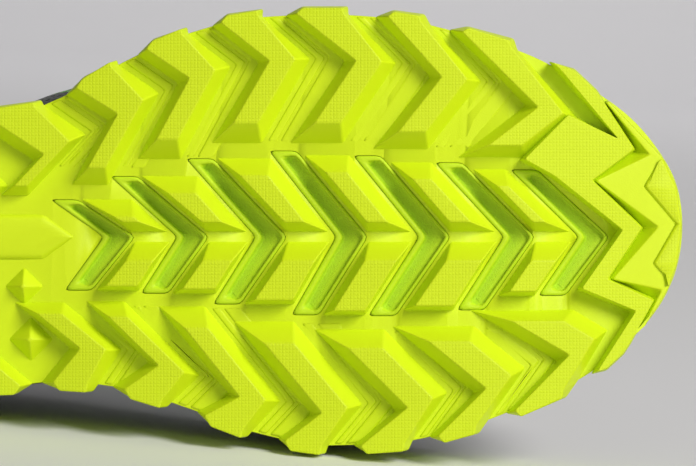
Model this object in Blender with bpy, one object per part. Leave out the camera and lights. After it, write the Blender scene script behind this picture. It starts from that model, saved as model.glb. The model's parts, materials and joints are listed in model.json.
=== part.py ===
# Trail running shoe for the left foot, lying on its lateral side.
# It is modelled as it is worn, with X forward from the heel, Y to the lateral side and
# Z up from the ground, and is then laid down on its sole edge and its upper.
import math

import bmesh
import bpy
import numpy as np
from mathutils import Matrix, Vector
from mathutils.bvhtree import BVHTree

# Sizes of the sole, in metres
SOLE_LENGTH = 0.296
BALL_BREADTH = 0.1124
TOE_SPRING = 0.015
HEEL_FOAM = 0.0205
OUTSOLE_BASE = 0.0025
LUG_HEIGHT = 0.0055
CLEARANCE = 0.0003
SLIVER = 0.000002
SHARPEST = 0.35
FEWEST_POINTS = 8

# Sizes of the side of the sole
FOAM_INSET = 0.0012
FOAM_GROOVE = 0.0022
RIM_INSET = 0.0009
INSOLE_THICKNESS = 0.004

# Sizes of the tread
TOOTH = 0.0022
TOOTH_LEAN = 0.0008
TOOTH_REAR = 0.0016
TOOTH_FRONT = 0.0003
TOOTH_RUN = 0.0014
FLAT_REACH = 0.0066
REAR_RUN = 0.0031
FRONT_RUN = 0.0039
LUG_FACET = 0.24
HEEL_VEE_SLOPE = 0.8
WINDOW_REACH = 0.0073
WINDOW_APEX_REACH = 0.0084
WINDOW_RIM = 0.0018
WINDOW_DEPTH = 0.003
CENTRE_MARGIN = 0.0009
CENTRE_CHANNEL = 0.0013
PLAQUE_HEIGHT = 0.0016
PLAQUE_STATION = 0.432
PLAQUE_REACH = 0.020
PLAQUE_HALF = 0.0058
PLATE_RUN = 0.0008
PLATE_DROP = 0.0002
BUMPER_DROP = 0.0008
BUMPER_STEP = 0.0005
BUMPER_ROUND = 0.0006
BUMPER_CENTRE = 0.9

# Sizes of the upper
INSTEP_HEIGHT = 0.0745
UPPER_INSET = 0.005
RIM_ROW = 0.055
UPPER_WALL = 0.0022
OVERLAY = 0.0009
OVERLAY_BEVEL = 0.012
COLLAR_PADDING = 0.0036
TONGUE_THICKNESS = 0.0036
TONGUE_CROWN = 0.001
TONGUE_TAB = 0.020
TONGUE_PLAY = 0.0008
TONGUE_TAPER = (1.5, 0.7)
TAB_DIRECTION = (-0.75, 0.0, 0.60)
TAB_LENGTH = 0.25
TAB_HEIGHT = 0.55

# Sizes of the lace
LACE_WIDTH = 0.0065
LACE_THICKNESS = 0.0016
LACE_LIFT = 0.0010
LACE_OVERLAP = 0.125
LACE_SLANT = 0.2
LACE_CROWN = 1.5
EYELET = 0.8

HALF_STATIONS = 36

# Plan of the sole: share of the length, medial and lateral breadth as shares of the ball
PLAN = (
    (0.000, -0.013, 0.013),
    (0.010, 0.116, 0.142),
    (0.035, 0.218, 0.245),
    (0.090, 0.311, 0.338),
    (0.160, 0.347, 0.369),
    (0.250, 0.325, 0.365),
    (0.330, 0.289, 0.350),
    (0.400, 0.282, 0.347),
    (0.445, 0.321, 0.336),
    (0.500, 0.402, 0.350),
    (0.560, 0.472, 0.398),
    (0.620, 0.509, 0.455),
    (0.680, 0.516, 0.484),
    (0.740, 0.507, 0.478),
    (0.800, 0.474, 0.446),
    (0.860, 0.425, 0.389),
    (0.910, 0.356, 0.327),
    (0.950, 0.285, 0.248),
    (0.980, 0.196, 0.158),
    (0.995, 0.120, 0.071),
    (1.000, 0.027, -0.027),
)

# Side view of the sole: share of the length, tread rise as a share of the toe spring,
# foam as a share of the heel foam
PROFILE = (
    (0.00, 0.33, 0.72),
    (0.05, 0.10, 0.92),
    (0.12, 0.00, 1.00),
    (0.30, 0.00, 0.95),
    (0.42, 0.13, 0.78),
    (0.50, 0.04, 0.72),
    (0.57, 0.00, 0.61),
    (0.70, 0.00, 0.55),
    (0.80, 0.10, 0.52),
    (0.90, 0.43, 0.48),
    (1.00, 1.00, 0.42),
)

# Opening of the upper, by share of the way from heel to toe: station, centre, half
# breadth as a share of the ball, height over the footbed as a share of the instep
OPENING = (
    (0.00, 0.022, 0.013, 0.000, 0.933),
    (0.10, 0.030, 0.013, 0.089, 0.920),
    (0.20, 0.075, 0.014, 0.196, 0.820),
    (0.30, 0.170, 0.015, 0.262, 0.690),
    (0.40, 0.300, 0.010, 0.268, 0.752),
    (0.46, 0.365, 0.004, 0.232, 0.930),
    (0.50, 0.400, -0.002, 0.192, 1.000),
    (0.60, 0.490, -0.018, 0.138, 0.900),
    (0.70, 0.565, -0.028, 0.120, 0.795),
    (0.80, 0.610, -0.030, 0.102, 0.718),
    (0.90, 0.637, -0.030, 0.062, 0.667),
    (1.00, 0.648, -0.030, 0.000, 0.650),
)

# Side of the upper: share of the way, height of the widest line over the footbed as a
# share of the instep, medial and lateral bulge as shares of the ball, lean and height of
# the shoulder
SIDE = (
    (0.00, 0.30, -0.004, -0.004, 0.35, 0.66),
    (0.10, 0.30, -0.004, -0.004, 0.35, 0.65),
    (0.20, 0.28, -0.009, -0.009, 0.36, 0.57),
    (0.30, 0.26, -0.008, -0.006, 0.45, 0.48),
    (0.40, 0.25, 0.018, 0.008, 0.46, 0.53),
    (0.45, 0.25, 0.040, 0.012, 0.43, 0.64),
    (0.50, 0.24, 0.010, 0.010, 0.42, 0.72),
    (0.60, 0.21, -0.008, 0.000, 0.40, 0.66),
    (0.70, 0.19, -0.014, -0.010, 0.36, 0.56),
    (0.80, 0.17, -0.018, -0.018, 0.28, 0.46),
    (0.90, 0.15, -0.018, -0.018, 0.23, 0.42),
    (1.00, 0.15, -0.018, -0.018, 0.20, 0.40),
)

# Overlays, by share of the way: top edge of the toe cap and counter, bottom edge of the
# eyestay and cuff, padding of the collar
OVERLAYS = (
    (0.00, 0.52, 0.80, 1.0),
    (0.18, 0.46, 0.80, 1.0),
    (0.30, 0.17, 0.76, 1.0),
    (0.39, 0.15, 0.71, 0.8),
    (0.46, 0.15, 0.67, 0.0),
    (0.60, 0.16, 0.68, 0.0),
    (0.75, 0.17, 0.74, 0.0),
    (0.88, 0.28, 0.80, 0.0),
    (1.00, 0.36, 0.82, 0.0),
)

# Forefoot lugs of each side: station and offset of the rear corner, outward drift of the
# corners per length, then slopes in length per breadth of the rear edge, the flat's front
# edge and the front wall's foot on the outer arm, slope of the inner arm, offset of the
# inner end
MEDIAL_LUGS = (
    (0.434, 0.191, 0.50, 1.53, 1.00, 1.45, 0.95, 0.095),
    (0.499, 0.284, 0.53, 1.62, 0.95, 1.45, 0.56, 0.120),
    (0.562, 0.366, 0.31, 1.50, 0.91, 1.29, 0.54, 0.180),
    (0.632, 0.406, 0.07, 1.28, 0.85, 1.14, 0.58, 0.217),
    (0.708, 0.406, -0.03, 1.28, 0.79, 1.00, 0.67, 0.217),
    (0.783, 0.369, -0.08, 0.90, 0.81, 0.91, 0.79, 0.203),
    (0.868, 0.300, -0.22, 1.02, 0.80, 0.90, 1.30, 0.184),
)
LATERAL_LUGS = (
    (0.466, 0.258, 0.03, 0.82, 0.53, 0.68, 1.24, 0.152),
    (0.535, 0.297, 0.25, 1.46, 0.81, 1.04, 1.03, 0.149),
    (0.606, 0.369, 0.12, 1.90, 0.76, 0.94, 0.80, 0.161),
    (0.678, 0.406, -0.19, 1.34, 0.69, 0.83, 0.83, 0.196),
    (0.753, 0.394, -0.35, 1.24, 0.65, 0.73, 1.00, 0.214),
    (0.822, 0.350, -0.48, 1.02, 0.73, 0.72, 1.22, 0.207),
    (0.896, 0.274, -0.60, 1.00, 0.64, 0.60, 1.70, 0.170),
)

# Plate of the toe, from the medial to the lateral side: station and offset of its rear
# edge, then of its zigzag front edge
TOE_PLATE = (
    (0.881, -0.405, 0.900, -0.387),
    (0.889, -0.385, 0.920, -0.339),
    (0.940, -0.228, 0.954, -0.205),
    (0.895, -0.283, 0.946, -0.189),
    (0.856, -0.180, 0.916, -0.131),
    (0.883, -0.141, 0.919, -0.124),
    (0.944, -0.016, 0.961, -0.021),
    (0.907, 0.120, 0.930, 0.099),
    (0.956, 0.173, 0.975, 0.138),
    (0.921, 0.313, 0.950, 0.249),
    (0.929, 0.307, 0.944, 0.272),
)

# Bumper, from the medial to the lateral side: foot of its rear wall, top of that wall, the
# low step in front of it, then the station and the side of the sole's edge
BUMPER = (
    (0.928, -0.317, 0.929, -0.313, 0.931, -0.311, 0.932, -1),
    (0.954, -0.205, 0.965, -0.189, 0.979, -0.174, 0.982, -1),
    (0.916, -0.131, 0.919, -0.131, 0.956, -0.120, 0.995, -1),
    (0.961, -0.021, 0.972, -0.023, 0.991, -0.032, 1.000, -1),
    (0.930, 0.099, 0.933, 0.101, 0.967, 0.067, 0.996, 1),
    (0.973, 0.137, 0.976, 0.127, 0.982, 0.092, 0.986, 1),
    (0.957, 0.211, 0.960, 0.208, 0.963, 0.200, 0.972, 1),
    (0.949, 0.241, 0.951, 0.238, 0.953, 0.234, 0.957, 1),
)

# Heel lugs of both sides, in the same columns, which point the other way
HEEL_LUGS = (
    (0.350, 0.205, 0.0, 1.20, 1.00, 1.10, 0.80, 0.120),
    (0.275, 0.215, 0.0, 1.20, 0.90, 1.05, 0.75, 0.120),
    (0.200, 0.225, 0.0, 1.10, 0.85, 1.00, 0.75, 0.120),
    (0.125, 0.215, 0.0, 1.00, 0.80, 0.90, 0.80, 0.110),
    (0.055, 0.160, 0.0, 0.80, 0.80, 0.80, 0.90, 0.080),
)

# Windows of the forefoot: station of the rear corner, reach and slope of the medial arm,
# reach and slope of the lateral arm
WINDOWS = (
    (0.485, 0.087, 1.43, 0.125, 0.73),
    (0.550, 0.141, 1.11, 0.132, 0.64),
    (0.619, 0.182, 0.89, 0.157, 0.63),
    (0.690, 0.200, 0.78, 0.182, 0.57),
    (0.763, 0.189, 0.81, 0.184, 0.64),
    (0.838, 0.173, 0.93, 0.171, 0.64),
    (0.905, 0.157, 1.03, 0.138, 0.69),
)

# Middle lugs of the heel: station of the corner, reach of both arms
HEEL_MIDDLE = (
    (0.335, 0.085),
    (0.260, 0.090),
    (0.185, 0.090),
    (0.112, 0.080),
)

# Lugs between the windows, medial and lateral: runs of the outer, inner, rear and front
# walls, in metres
MIDDLE_RUNS = (
    (0.0046, 0.0026, 0.0028, 0.0052),
    (0.0013, 0.0049, 0.0029, 0.0018),
)

# Four-sided facets beside the plaque: station, offset, half size in metres
PYRAMIDS = (
    (0.415, 0.115, 0.0050),
    (0.375, 0.118, 0.0048),
    (0.385, -0.118, 0.0048),
)

# Side of the foam, as a share of its height: inset in metres
FOAM_SIDE = (
    (0.00, FOAM_INSET),
    (0.22, FOAM_INSET),
    (0.32, FOAM_GROOVE),
    (0.42, FOAM_GROOVE),
    (0.55, RIM_INSET),
    (0.85, 0.5 * RIM_INSET),
)

# Free end of the tongue: share of the tab, breadth left
TAB = (
    (1.0, 0.50),
    (0.3, 0.62),
)

# Weight of each solid, in grams per cubic centimetre
DENSITIES = {
    "outsole": 1.1,
    "midsole": 0.2,
    "upper": 0.5,
    "insole": 0.2,
    "tongue": 0.25,
    "lace": 0.6,
}

LACE_ROWS = (0.54, 0.585, 0.635, 0.70, 0.785)


def ease(knots, values, at):
    """Monotone cubic through the rows of a table, which keeps flat stretches flat."""
    knots = np.asarray(knots, float)
    values = np.asarray(values, float)
    at = np.clip(np.asarray(at, float), knots[0], knots[-1])
    step = np.diff(knots)
    slope = np.diff(values) / step
    product = slope[1:] * slope[:-1]
    total = slope[1:] + slope[:-1]
    safe = np.where(product > 0.0, total, 1.0)
    inner = np.where(product > 0.0, 2.0 * product / safe, 0.0)
    tangent = np.concatenate(([slope[0]], inner, [slope[-1]]))
    left = np.clip(np.searchsorted(knots, at, side="right") - 1, 0, len(step) - 1)
    h = step[left]
    t = (at - knots[left]) / h
    rise = (3.0 - 2.0 * t) * t * t
    bend = t * (1.0 - t) * h
    pull = tangent[left] * (1.0 - t) - tangent[left + 1] * t
    return values[left] * (1.0 - rise) + values[left + 1] * rise + bend * pull


def column(table, index, at):
    """One column of a table, read between its rows."""
    rows = np.array(table)
    return ease(rows[:, 0], rows[:, index], at)


def breadth(x, side):
    """Breadth of the sole at a station, from its axis to the edge of one side."""
    rows = np.array(PLAN)
    turn = np.arccos(1.0 - 2.0 * rows[:, 0])
    share = np.clip(np.asarray(x, float) / SOLE_LENGTH, 0.0, 1.0)
    index = 1 if side < 0 else 2
    return BALL_BREADTH * ease(turn, rows[:, index], np.arccos(1.0 - 2.0 * share))


def tread_rise(x):
    """Height of the tread's ground face over the ground: heel bevel, arch, toe spring."""
    return TOE_SPRING * column(PROFILE, 1, np.asarray(x, float) / SOLE_LENGTH)


def footbed(x):
    """Height of the midsole's top, on which the upper and the insole lie."""
    foam = HEEL_FOAM * column(PROFILE, 2, np.asarray(x, float) / SOLE_LENGTH)
    return tread_rise(x) + LUG_HEIGHT + OUTSOLE_BASE + CLEARANCE + foam


def loop_ways():
    """Share of the way from heel to toe and the side of each point round the sole."""
    way = np.arange(HALF_STATIONS + 1) / HALF_STATIONS
    ways = np.concatenate((way, way[-2:0:-1]))
    sides = np.concatenate((-np.ones(len(way)), np.ones(len(way) - 2)))
    return ways, sides


def sole_loop():
    """Plan of the sole as a loop from the heel, up the medial side and back."""
    ways, sides = loop_ways()
    x = SOLE_LENGTH * (1.0 - np.cos(math.pi * ways)) / 2.0
    y = np.where(sides < 0, -breadth(x, -1), breadth(x, 1))
    return np.stack((x, y), axis=1)


def outward(loop):
    """Unit vectors in plan that point away from a closed loop."""
    along = np.roll(loop, -1, axis=0) - np.roll(loop, 1, axis=0)
    away = np.stack((along[:, 1], -along[:, 0]), axis=1)
    return away / np.linalg.norm(away, axis=1)[:, None]


def ring(loop, offset, height):
    """A loop of the sole moved in or out, at a height given for each of its points."""
    plan = loop + outward(loop) * offset
    return np.column_stack((plan, np.broadcast_to(height, len(loop))))


def bed_ring(loop, offset, above):
    """A loop of the sole moved in or out and laid at a height over the footbed."""
    plan = loop + outward(loop) * offset
    return np.column_stack((plan, footbed(plan[:, 0]) + above))


def material(name, colour, roughness):
    """A plain material with the part's colour."""
    made = bpy.data.materials.new(name)
    made.use_nodes = True
    shader = made.node_tree.nodes["Principled BSDF"]
    shader.inputs["Base Color"].default_value = (*colour, 1.0)
    shader.inputs["Roughness"].default_value = roughness
    shader.inputs["Metallic"].default_value = 0.0
    return made


def add_object(name, bm, collection, finish=None):
    """Put a mesh into the scene, with its faces pointing out."""
    bmesh.ops.recalc_face_normals(bm, faces=bm.faces)
    mesh = bpy.data.meshes.new(name)
    bm.to_mesh(mesh)
    bm.free()
    made = bpy.data.objects.new(name, mesh)
    collection.objects.link(made)
    if finish is None:
        made.display_type = "WIRE"
        made.hide_render = True
    else:
        mesh.materials.append(finish)
    return made


def add_rings(bm, rings, closed=False):
    """Loft through rings of equal count; a closed loft joins the last to the first."""
    verts = [[bm.verts.new(point) for point in row] for row in rings]
    count = len(verts[0])
    pairs = list(zip(verts, verts[1:]))
    if closed:
        pairs.append((verts[-1], verts[0]))
    for low, high in pairs:
        for i in range(count):
            j = (i + 1) % count
            bm.faces.new((low[i], low[j], high[j], high[i]))
    return verts


def cap_across(bm, verts):
    """Close a loop of the sole with strips from its medial to its lateral points."""
    half = HALF_STATIONS
    bm.faces.new((verts[0], verts[1], verts[-1]))
    for i in range(1, half - 1):
        bm.faces.new((verts[i], verts[i + 1], verts[-i - 1], verts[-i]))
    bm.faces.new((verts[half - 1], verts[half], verts[half + 1]))


def sole_solid(rings):
    """A solid lofted through rings of the sole, closed across at both ends."""
    bm = bmesh.new()
    verts = add_rings(bm, rings)
    cap_across(bm, verts[0])
    cap_across(bm, verts[-1])
    return bm


def add_prism(bm, rings):
    """A solid lofted through a few flat polygons and closed at both ends."""
    verts = add_rings(bm, rings)
    bm.faces.new(verts[0])
    bm.faces.new(verts[-1])


def at_height(outline, height):
    """A plan outline as points at one height."""
    return [(x, y, height) for x, y in outline]


def add_lug(forms, foot, flat, drop=0.0):
    """A lug from its outline at the base to its outline at the ground."""
    root = LUG_HEIGHT + 0.8 * OUTSOLE_BASE
    forms.append((at_height(foot, root), at_height(foot, LUG_HEIGHT), at_height(flat, drop)))


def to_edge(x, y, slope, side, toward):
    """Point where an arm that leaves a corner outwards passes the edge of the sole."""
    low = 0.0
    high = BALL_BREADTH
    for _ in range(40):
        middle = (low + high) / 2.0
        station = x - toward * slope * middle
        if abs(y) + middle < float(breadth(station, side)):
            low = middle
        else:
            high = middle
    return x - toward * slope * low, side * (abs(y) + low)


def arms(x, y, side, toward, slopes, inner, back_off=0.0):
    """Outer end, corner and inner end of one line of a chevron."""
    out_slope, in_slope = slopes
    reach = y - inner - back_off
    return [to_edge(x, y, out_slope, side, toward), (x, side * y),
            (x - toward * in_slope * reach, side * (inner + back_off))]


def side_lug(forms, side, row, toward=1):
    """A chevron lug of one side, whose outer end stands out as a tooth: its two corners lie
    beyond the sole's edge, near the points where the flat's edges cross it."""
    station, offset, drift, rear, front, low_front, in_slope, in_offset = row
    x = SOLE_LENGTH * station
    y = BALL_BREADTH * offset
    inner = BALL_BREADTH * in_offset

    def line(shift, slope, back_off=0.0):
        return arms(x + toward * shift, y + drift * shift, side, toward, (slope, in_slope),
                    inner, back_off)

    facet = LUG_FACET * (y - inner)
    flat_rear = line(0.0, rear, facet)
    flat_front = line(FLAT_REACH, front, facet)
    foot_rear = line(-REAR_RUN, rear)
    foot_front = line(FLAT_REACH + FRONT_RUN, low_front)
    tips = (flat_rear[0][0] + toward * TOOTH_REAR, flat_front[0][0] - toward * TOOTH_FRONT)
    high = []
    low = []
    for tip, run in zip(tips, (0.0, TOOTH_RUN)):
        edge = side * (float(breadth(tip, side)) + TOOTH)
        high.append((tip, edge - min(side, 0) * TOOTH_LEAN))
        low.append((tip + toward * run, edge))
    foot = [low[0], *foot_rear, *foot_front[::-1], low[1]]
    flat = [high[0], *flat_rear, *flat_front[::-1], high[1]]
    add_lug(forms, foot, flat)


def window_rows(index, grow=0.0):
    """Rear and front edge of a window, from its medial end over its corner."""
    station, medial, medial_slope, lateral, lateral_slope = WINDOWS[index]
    x = SOLE_LENGTH * station
    top = BALL_BREADTH * medial + grow
    low = BALL_BREADTH * lateral + grow
    rear = ((x - medial_slope * top, -top), (x, 0.0), (x - lateral_slope * low, low))
    reaches = (WINDOW_REACH, WINDOW_APEX_REACH, WINDOW_REACH)
    front = tuple((point[0] + reach, point[1]) for point, reach in zip(rear, reaches))
    rear = tuple((point[0] - grow, point[1]) for point in rear)
    front = tuple((point[0] + grow, point[1]) for point in front)
    return rear, front


def window_ring(index, grow):
    """Outline of a window, made larger or smaller all round."""
    rear, front = window_rows(index, grow)
    return rear + front[::-1]


def across(start, end, y):
    """Point of a straight edge at a given offset from the sole's axis."""
    share = (y - start[1]) / (end[1] - start[1])
    return start[0] + share * (end[0] - start[0])


def middle_lugs(forms, index):
    """The two lugs between one window and the next, on each side of the channel."""
    front = window_rows(index)[1]
    rear = window_rows(index + 1)[0]
    for sign, runs in zip((-1, 1), MIDDLE_RUNS):
        outer_run, inner_run, rear_run, front_run = runs
        end = 1 + sign
        outer = sign * min(abs(front[end][1]), abs(rear[end][1]))
        inner = sign * CENTRE_CHANNEL
        foot_ys = (outer, inner)
        flat_ys = (outer - sign * outer_run, inner + sign * inner_run)
        foot = [(across(front[1], front[end], y) + CENTRE_MARGIN, y) for y in foot_ys]
        foot += [(across(rear[1], rear[end], y) - CENTRE_MARGIN, y) for y in foot_ys[::-1]]
        flat = [(across(front[1], front[end], y) + rear_run, y) for y in flat_ys]
        flat += [(across(rear[1], rear[end], y) - front_run, y) for y in flat_ys[::-1]]
        add_lug(forms, foot, flat)


def vee_lug(forms, x, reach, toward):
    """A lug in one piece with two arms, in the middle of the sole."""
    rear_run = 0.5 * REAR_RUN
    length = rear_run + FLAT_REACH + 0.5 * FRONT_RUN
    short = reach - 0.4 * rear_run
    foot = []
    flat = []
    for foot_shift, flat_shift, order in ((0.0, rear_run, (-1, 0, 1)),
                                          (length, rear_run + FLAT_REACH, (1, 0, -1))):
        for sign in order:
            back = HEEL_VEE_SLOPE * abs(sign)
            foot.append((x + toward * (foot_shift - back * reach), sign * reach))
            flat.append((x + toward * (flat_shift - back * short), sign * short))
    add_lug(forms, foot, flat)


def grown(outline, distance):
    """An outline moved outwards: each corner slides along the sum of its edges' normals,
    over one plus their product."""
    edge = np.roll(outline, -1, axis=0) - outline
    edge = edge / np.linalg.norm(edge, axis=1)[:, None]
    x, y = outline.T
    turn = np.sign(np.sum(x * np.roll(y, -1) - y * np.roll(x, -1)))
    normal = turn * np.stack((edge[:, 1], -edge[:, 0]), axis=1)
    before = np.roll(normal, 1, axis=0)
    spread = np.maximum(1.0 + np.sum(normal * before, axis=1), SHARPEST)
    return outline + distance * (normal + before) / spread[:, None]


def toe_plate(forms):
    """The last lugs of all three rows in one plate, with a zigzag front edge."""
    rows = np.array(TOE_PLATE).reshape(-1, 2, 2) * (SOLE_LENGTH, BALL_BREADTH)
    flat = np.concatenate((rows[:, 0], rows[::-1, 1]))
    add_lug(forms, grown(flat, PLATE_RUN), flat, drop=PLATE_DROP)


def bumper(forms):
    """Raised edge round the toe: its rear wall slopes down to the plate, and closes to
    nothing at the inner corners of the zigzag. A low step runs across it."""
    rows = np.array(BUMPER)
    corners = rows[:, :6].reshape(-1, 3, 2) * (SOLE_LENGTH, BALL_BREADTH)
    foot, wall, step = corners.transpose(1, 0, 2)
    edge = np.array([(SOLE_LENGTH * x, side * breadth(SOLE_LENGTH * x, side))
                     for x, side in rows[:, 6:]])
    inward = (BUMPER_CENTRE * SOLE_LENGTH, 0.0) - edge
    top = edge + BUMPER_ROUND * inward / np.linalg.norm(inward, axis=1)[:, None]
    add_lug(forms, np.concatenate((foot, edge[::-1])), np.concatenate((wall, top[::-1])),
            drop=BUMPER_DROP)
    behind = np.array((BUMPER_STEP, 0.0))
    high = np.concatenate((wall[1:6] + behind, step[5:0:-1]))
    add_lug(forms, high, high, drop=BUMPER_DROP - BUMPER_STEP)


def plaque(forms):
    """Bare raised panel in the waist, between the forefoot and the heel tread."""
    x = PLAQUE_STATION * SOLE_LENGTH
    reach = PLAQUE_REACH
    half = PLAQUE_HALF
    foot = np.array(((x - reach, -half), (x, -half), (x + 0.4 * reach, 0.0), (x, half),
                     (x - reach, half), (x - 1.4 * reach, 0.0)))
    centre = np.array((x - 0.5 * reach, 0.0))
    flat = centre + (foot - centre) * (0.9, 0.8)
    add_lug(forms, foot, flat, drop=LUG_HEIGHT - PLAQUE_HEIGHT)


def waist_pyramids(forms):
    """Small four-sided facets on both sides of the plaque."""
    for share, offset, half in PYRAMIDS:
        centre = np.array((SOLE_LENGTH * share, BALL_BREADTH * offset))
        foot = centre + half * np.array(((-1, 0), (0, -1), (1, 0), (0, 1)))
        flat = centre + (foot - centre) * 0.12
        add_lug(forms, foot, flat, drop=0.3 * LUG_HEIGHT)


def bend(mesh):
    """Lift the flat tread onto the side view of the sole."""
    points = np.empty(len(mesh.vertices) * 3)
    mesh.vertices.foreach_get("co", points)
    points = points.reshape(-1, 3)
    points[:, 2] += tread_rise(points[:, 0])
    mesh.vertices.foreach_set("co", points.ravel())
    mesh.update()


def combine(target, forms, operation, cutters):
    """Join a solid with lofted forms, or cut it by them, one after the other."""
    for index, rings in enumerate(forms):
        bm = bmesh.new()
        add_prism(bm, rings)
        form = add_object(f"{target.name}_form_{index}", bm, cutters)
        modifier = target.modifiers.new(form.name, "BOOLEAN")
        modifier.operation = operation
        modifier.solver = "EXACT"
        modifier.object = form


def drop_slivers(bm):
    """Delete loose scraps of a union, which have fewer points than any lofted form."""
    left = set(bm.verts)
    while left:
        island = {left.pop()}
        border = list(island)
        while border:
            point = border.pop()
            near = {edge.other_vert(point) for edge in point.link_edges} - island
            island |= near
            border += near
        left -= island
        if len(island) < FEWEST_POINTS:
            bmesh.ops.delete(bm, geom=list(island), context="VERTS")


def apply_forms(target):
    """Replace a solid's mesh by the one that its modifiers give, without slivers."""
    graph = bpy.context.evaluated_depsgraph_get()
    mesh = bpy.data.meshes.new_from_object(target.evaluated_get(graph))
    target.modifiers.clear()
    bm = bmesh.new()
    bm.from_mesh(mesh)
    bmesh.ops.remove_doubles(bm, verts=bm.verts, dist=SLIVER)
    bmesh.ops.dissolve_degenerate(bm, edges=bm.edges, dist=SLIVER)
    drop_slivers(bm)
    bm.to_mesh(mesh)
    bm.free()
    target.data = mesh
    return mesh


def make_outsole(parts, cutters, finish):
    """Rubber outsole: a base with its lugs, cut through by the forefoot windows."""
    loop = sole_loop()
    base = sole_solid((ring(loop, 0.0, LUG_HEIGHT), ring(loop, 0.0, LUG_HEIGHT + OUTSOLE_BASE)))
    outsole = add_object("outsole", base, parts, finish)
    forms = []
    for row in MEDIAL_LUGS:
        side_lug(forms, -1, row)
    for row in LATERAL_LUGS:
        side_lug(forms, 1, row)
    for row in HEEL_LUGS:
        side_lug(forms, -1, row, toward=-1)
        side_lug(forms, 1, row, toward=-1)
    for index in range(len(WINDOWS) - 1):
        middle_lugs(forms, index)
    for share, reach in HEEL_MIDDLE:
        vee_lug(forms, SOLE_LENGTH * share, BALL_BREADTH * reach, toward=-1)
    toe_plate(forms)
    plaque(forms)
    waist_pyramids(forms)
    bumper(forms)
    combine(outsole, forms, "UNION", cutters)
    windows = []
    for index in range(len(WINDOWS)):
        outline = window_ring(index, 0.0)
        windows.append((at_height(outline, LUG_HEIGHT - PLAQUE_HEIGHT),
                        at_height(outline, LUG_HEIGHT + 2.0 * OUTSOLE_BASE)))
    combine(outsole, windows, "DIFFERENCE", cutters)
    bend(apply_forms(outsole))
    return outsole


def upper_points():
    """Rays of the upper from the sole edge to the opening, as four points each."""
    ways, sides = loop_ways()
    loop = sole_loop()
    away = outward(loop)
    open_x = SOLE_LENGTH * column(OPENING, 1, ways)
    open_y = BALL_BREADTH * (column(OPENING, 2, ways) + sides * column(OPENING, 3, ways))
    open_z = footbed(open_x) + INSTEP_HEIGHT * column(OPENING, 4, ways)
    opening = np.stack((open_x, open_y, open_z), axis=1)
    foot = bed_ring(loop, -UPPER_INSET, CLEARANCE)
    bulge = np.where(sides < 0, column(SIDE, 2, ways), column(SIDE, 3, ways))
    widest = loop + away * (BALL_BREADTH * bulge)[:, None]
    widest_z = footbed(widest[:, 0]) + INSTEP_HEIGHT * column(SIDE, 1, ways)
    lean = column(SIDE, 4, ways)[:, None]
    shoulder = widest * (1.0 - lean) + opening[:, :2] * lean
    shoulder_z = footbed(shoulder[:, 0]) + INSTEP_HEIGHT * column(SIDE, 5, ways)
    return np.stack((foot, np.column_stack((widest, widest_z)),
                     np.column_stack((shoulder, shoulder_z)), opening), axis=1)


def upper_surface(rows):
    """Outer surface of the last: a smooth curve along each ray, read at shares of its
    length, one share for each ray and row."""
    surface = np.empty((*rows.shape, 3))
    for index, corners in enumerate(upper_points()):
        steps = np.linalg.norm(np.diff(corners, axis=0), axis=1)
        knots = np.concatenate(([0.0], np.cumsum(steps))) / steps.sum()
        for axis in range(3):
            surface[:, index, axis] = ease(knots, corners[:, axis], rows[:, index])
    return surface


def surface_normals(surface):
    """Unit normals of a grid that runs round the shoe and up, pointing outwards."""
    along = np.roll(surface, -1, axis=1) - np.roll(surface, 1, axis=1)
    up = np.gradient(surface, axis=0)
    normals = np.cross(along, up)
    normals[0, :, 2] = 0.0
    return normals / np.linalg.norm(normals, axis=2)[:, :, None]


def outer_rows():
    """Rows of the upper: pairs of close rows carry the steps of the overlays."""
    ways = loop_ways()[0]
    cap = column(OVERLAYS, 1, ways)
    stay = column(OVERLAYS, 2, ways)
    rim = np.full(len(ways), RIM_ROW)
    rows = [np.zeros(len(ways)), rim, (rim + cap) / 2.0, cap - OVERLAY_BEVEL / 2.0,
            cap + OVERLAY_BEVEL / 2.0]
    for share in (0.2, 0.4, 0.6, 0.8):
        rows.append(cap + share * (stay - cap))
    rows += [stay - OVERLAY_BEVEL / 2.0, stay + OVERLAY_BEVEL / 2.0,
             (stay + 1.0) / 2.0, np.ones(len(ways))]
    raised = np.array((0, 0, 1, 1, 0, 0, 0, 0, 0, 0, 1, 1, 1), float)
    return np.array(rows), raised


def inner_rows():
    """Rows of the upper's lining side."""
    ways = loop_ways()[0]
    cap = column(OVERLAYS, 1, ways)
    stay = column(OVERLAYS, 2, ways)
    rows = [np.zeros(len(ways)), cap / 2.0, cap]
    for share in (0.33, 0.67):
        rows.append(cap + share * (stay - cap))
    rows += [stay, (stay + 1.0) / 2.0, np.ones(len(ways))]
    padded = np.array((0, 0, 0, 0, 0.1, 0.7, 1.0, 0.5), float)
    return np.array(rows), padded


def upper_outside():
    """Outer grid of the upper with its overlays raised."""
    rows, raised = outer_rows()
    surface = upper_surface(rows)
    return surface + surface_normals(surface) * (OVERLAY * raised)[:, None, None]


def upper_inside():
    """Inner grid of the upper: the outer form moved in by the wall and the padding."""
    rows, padded = inner_rows()
    surface = upper_surface(rows)
    padding = COLLAR_PADDING * column(OVERLAYS, 3, loop_ways()[0])
    wall = UPPER_WALL + padded[:, None] * padding[None, :]
    return surface - surface_normals(surface) * wall[:, :, None]


def make_upper(parts, finish):
    """Upper: one hollow solid, open at the collar, the throat and underneath."""
    rings = list(upper_outside()) + list(upper_inside()[::-1])
    bm = bmesh.new()
    add_rings(bm, rings, closed=True)
    return add_object("upper", bm, parts, finish)


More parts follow.
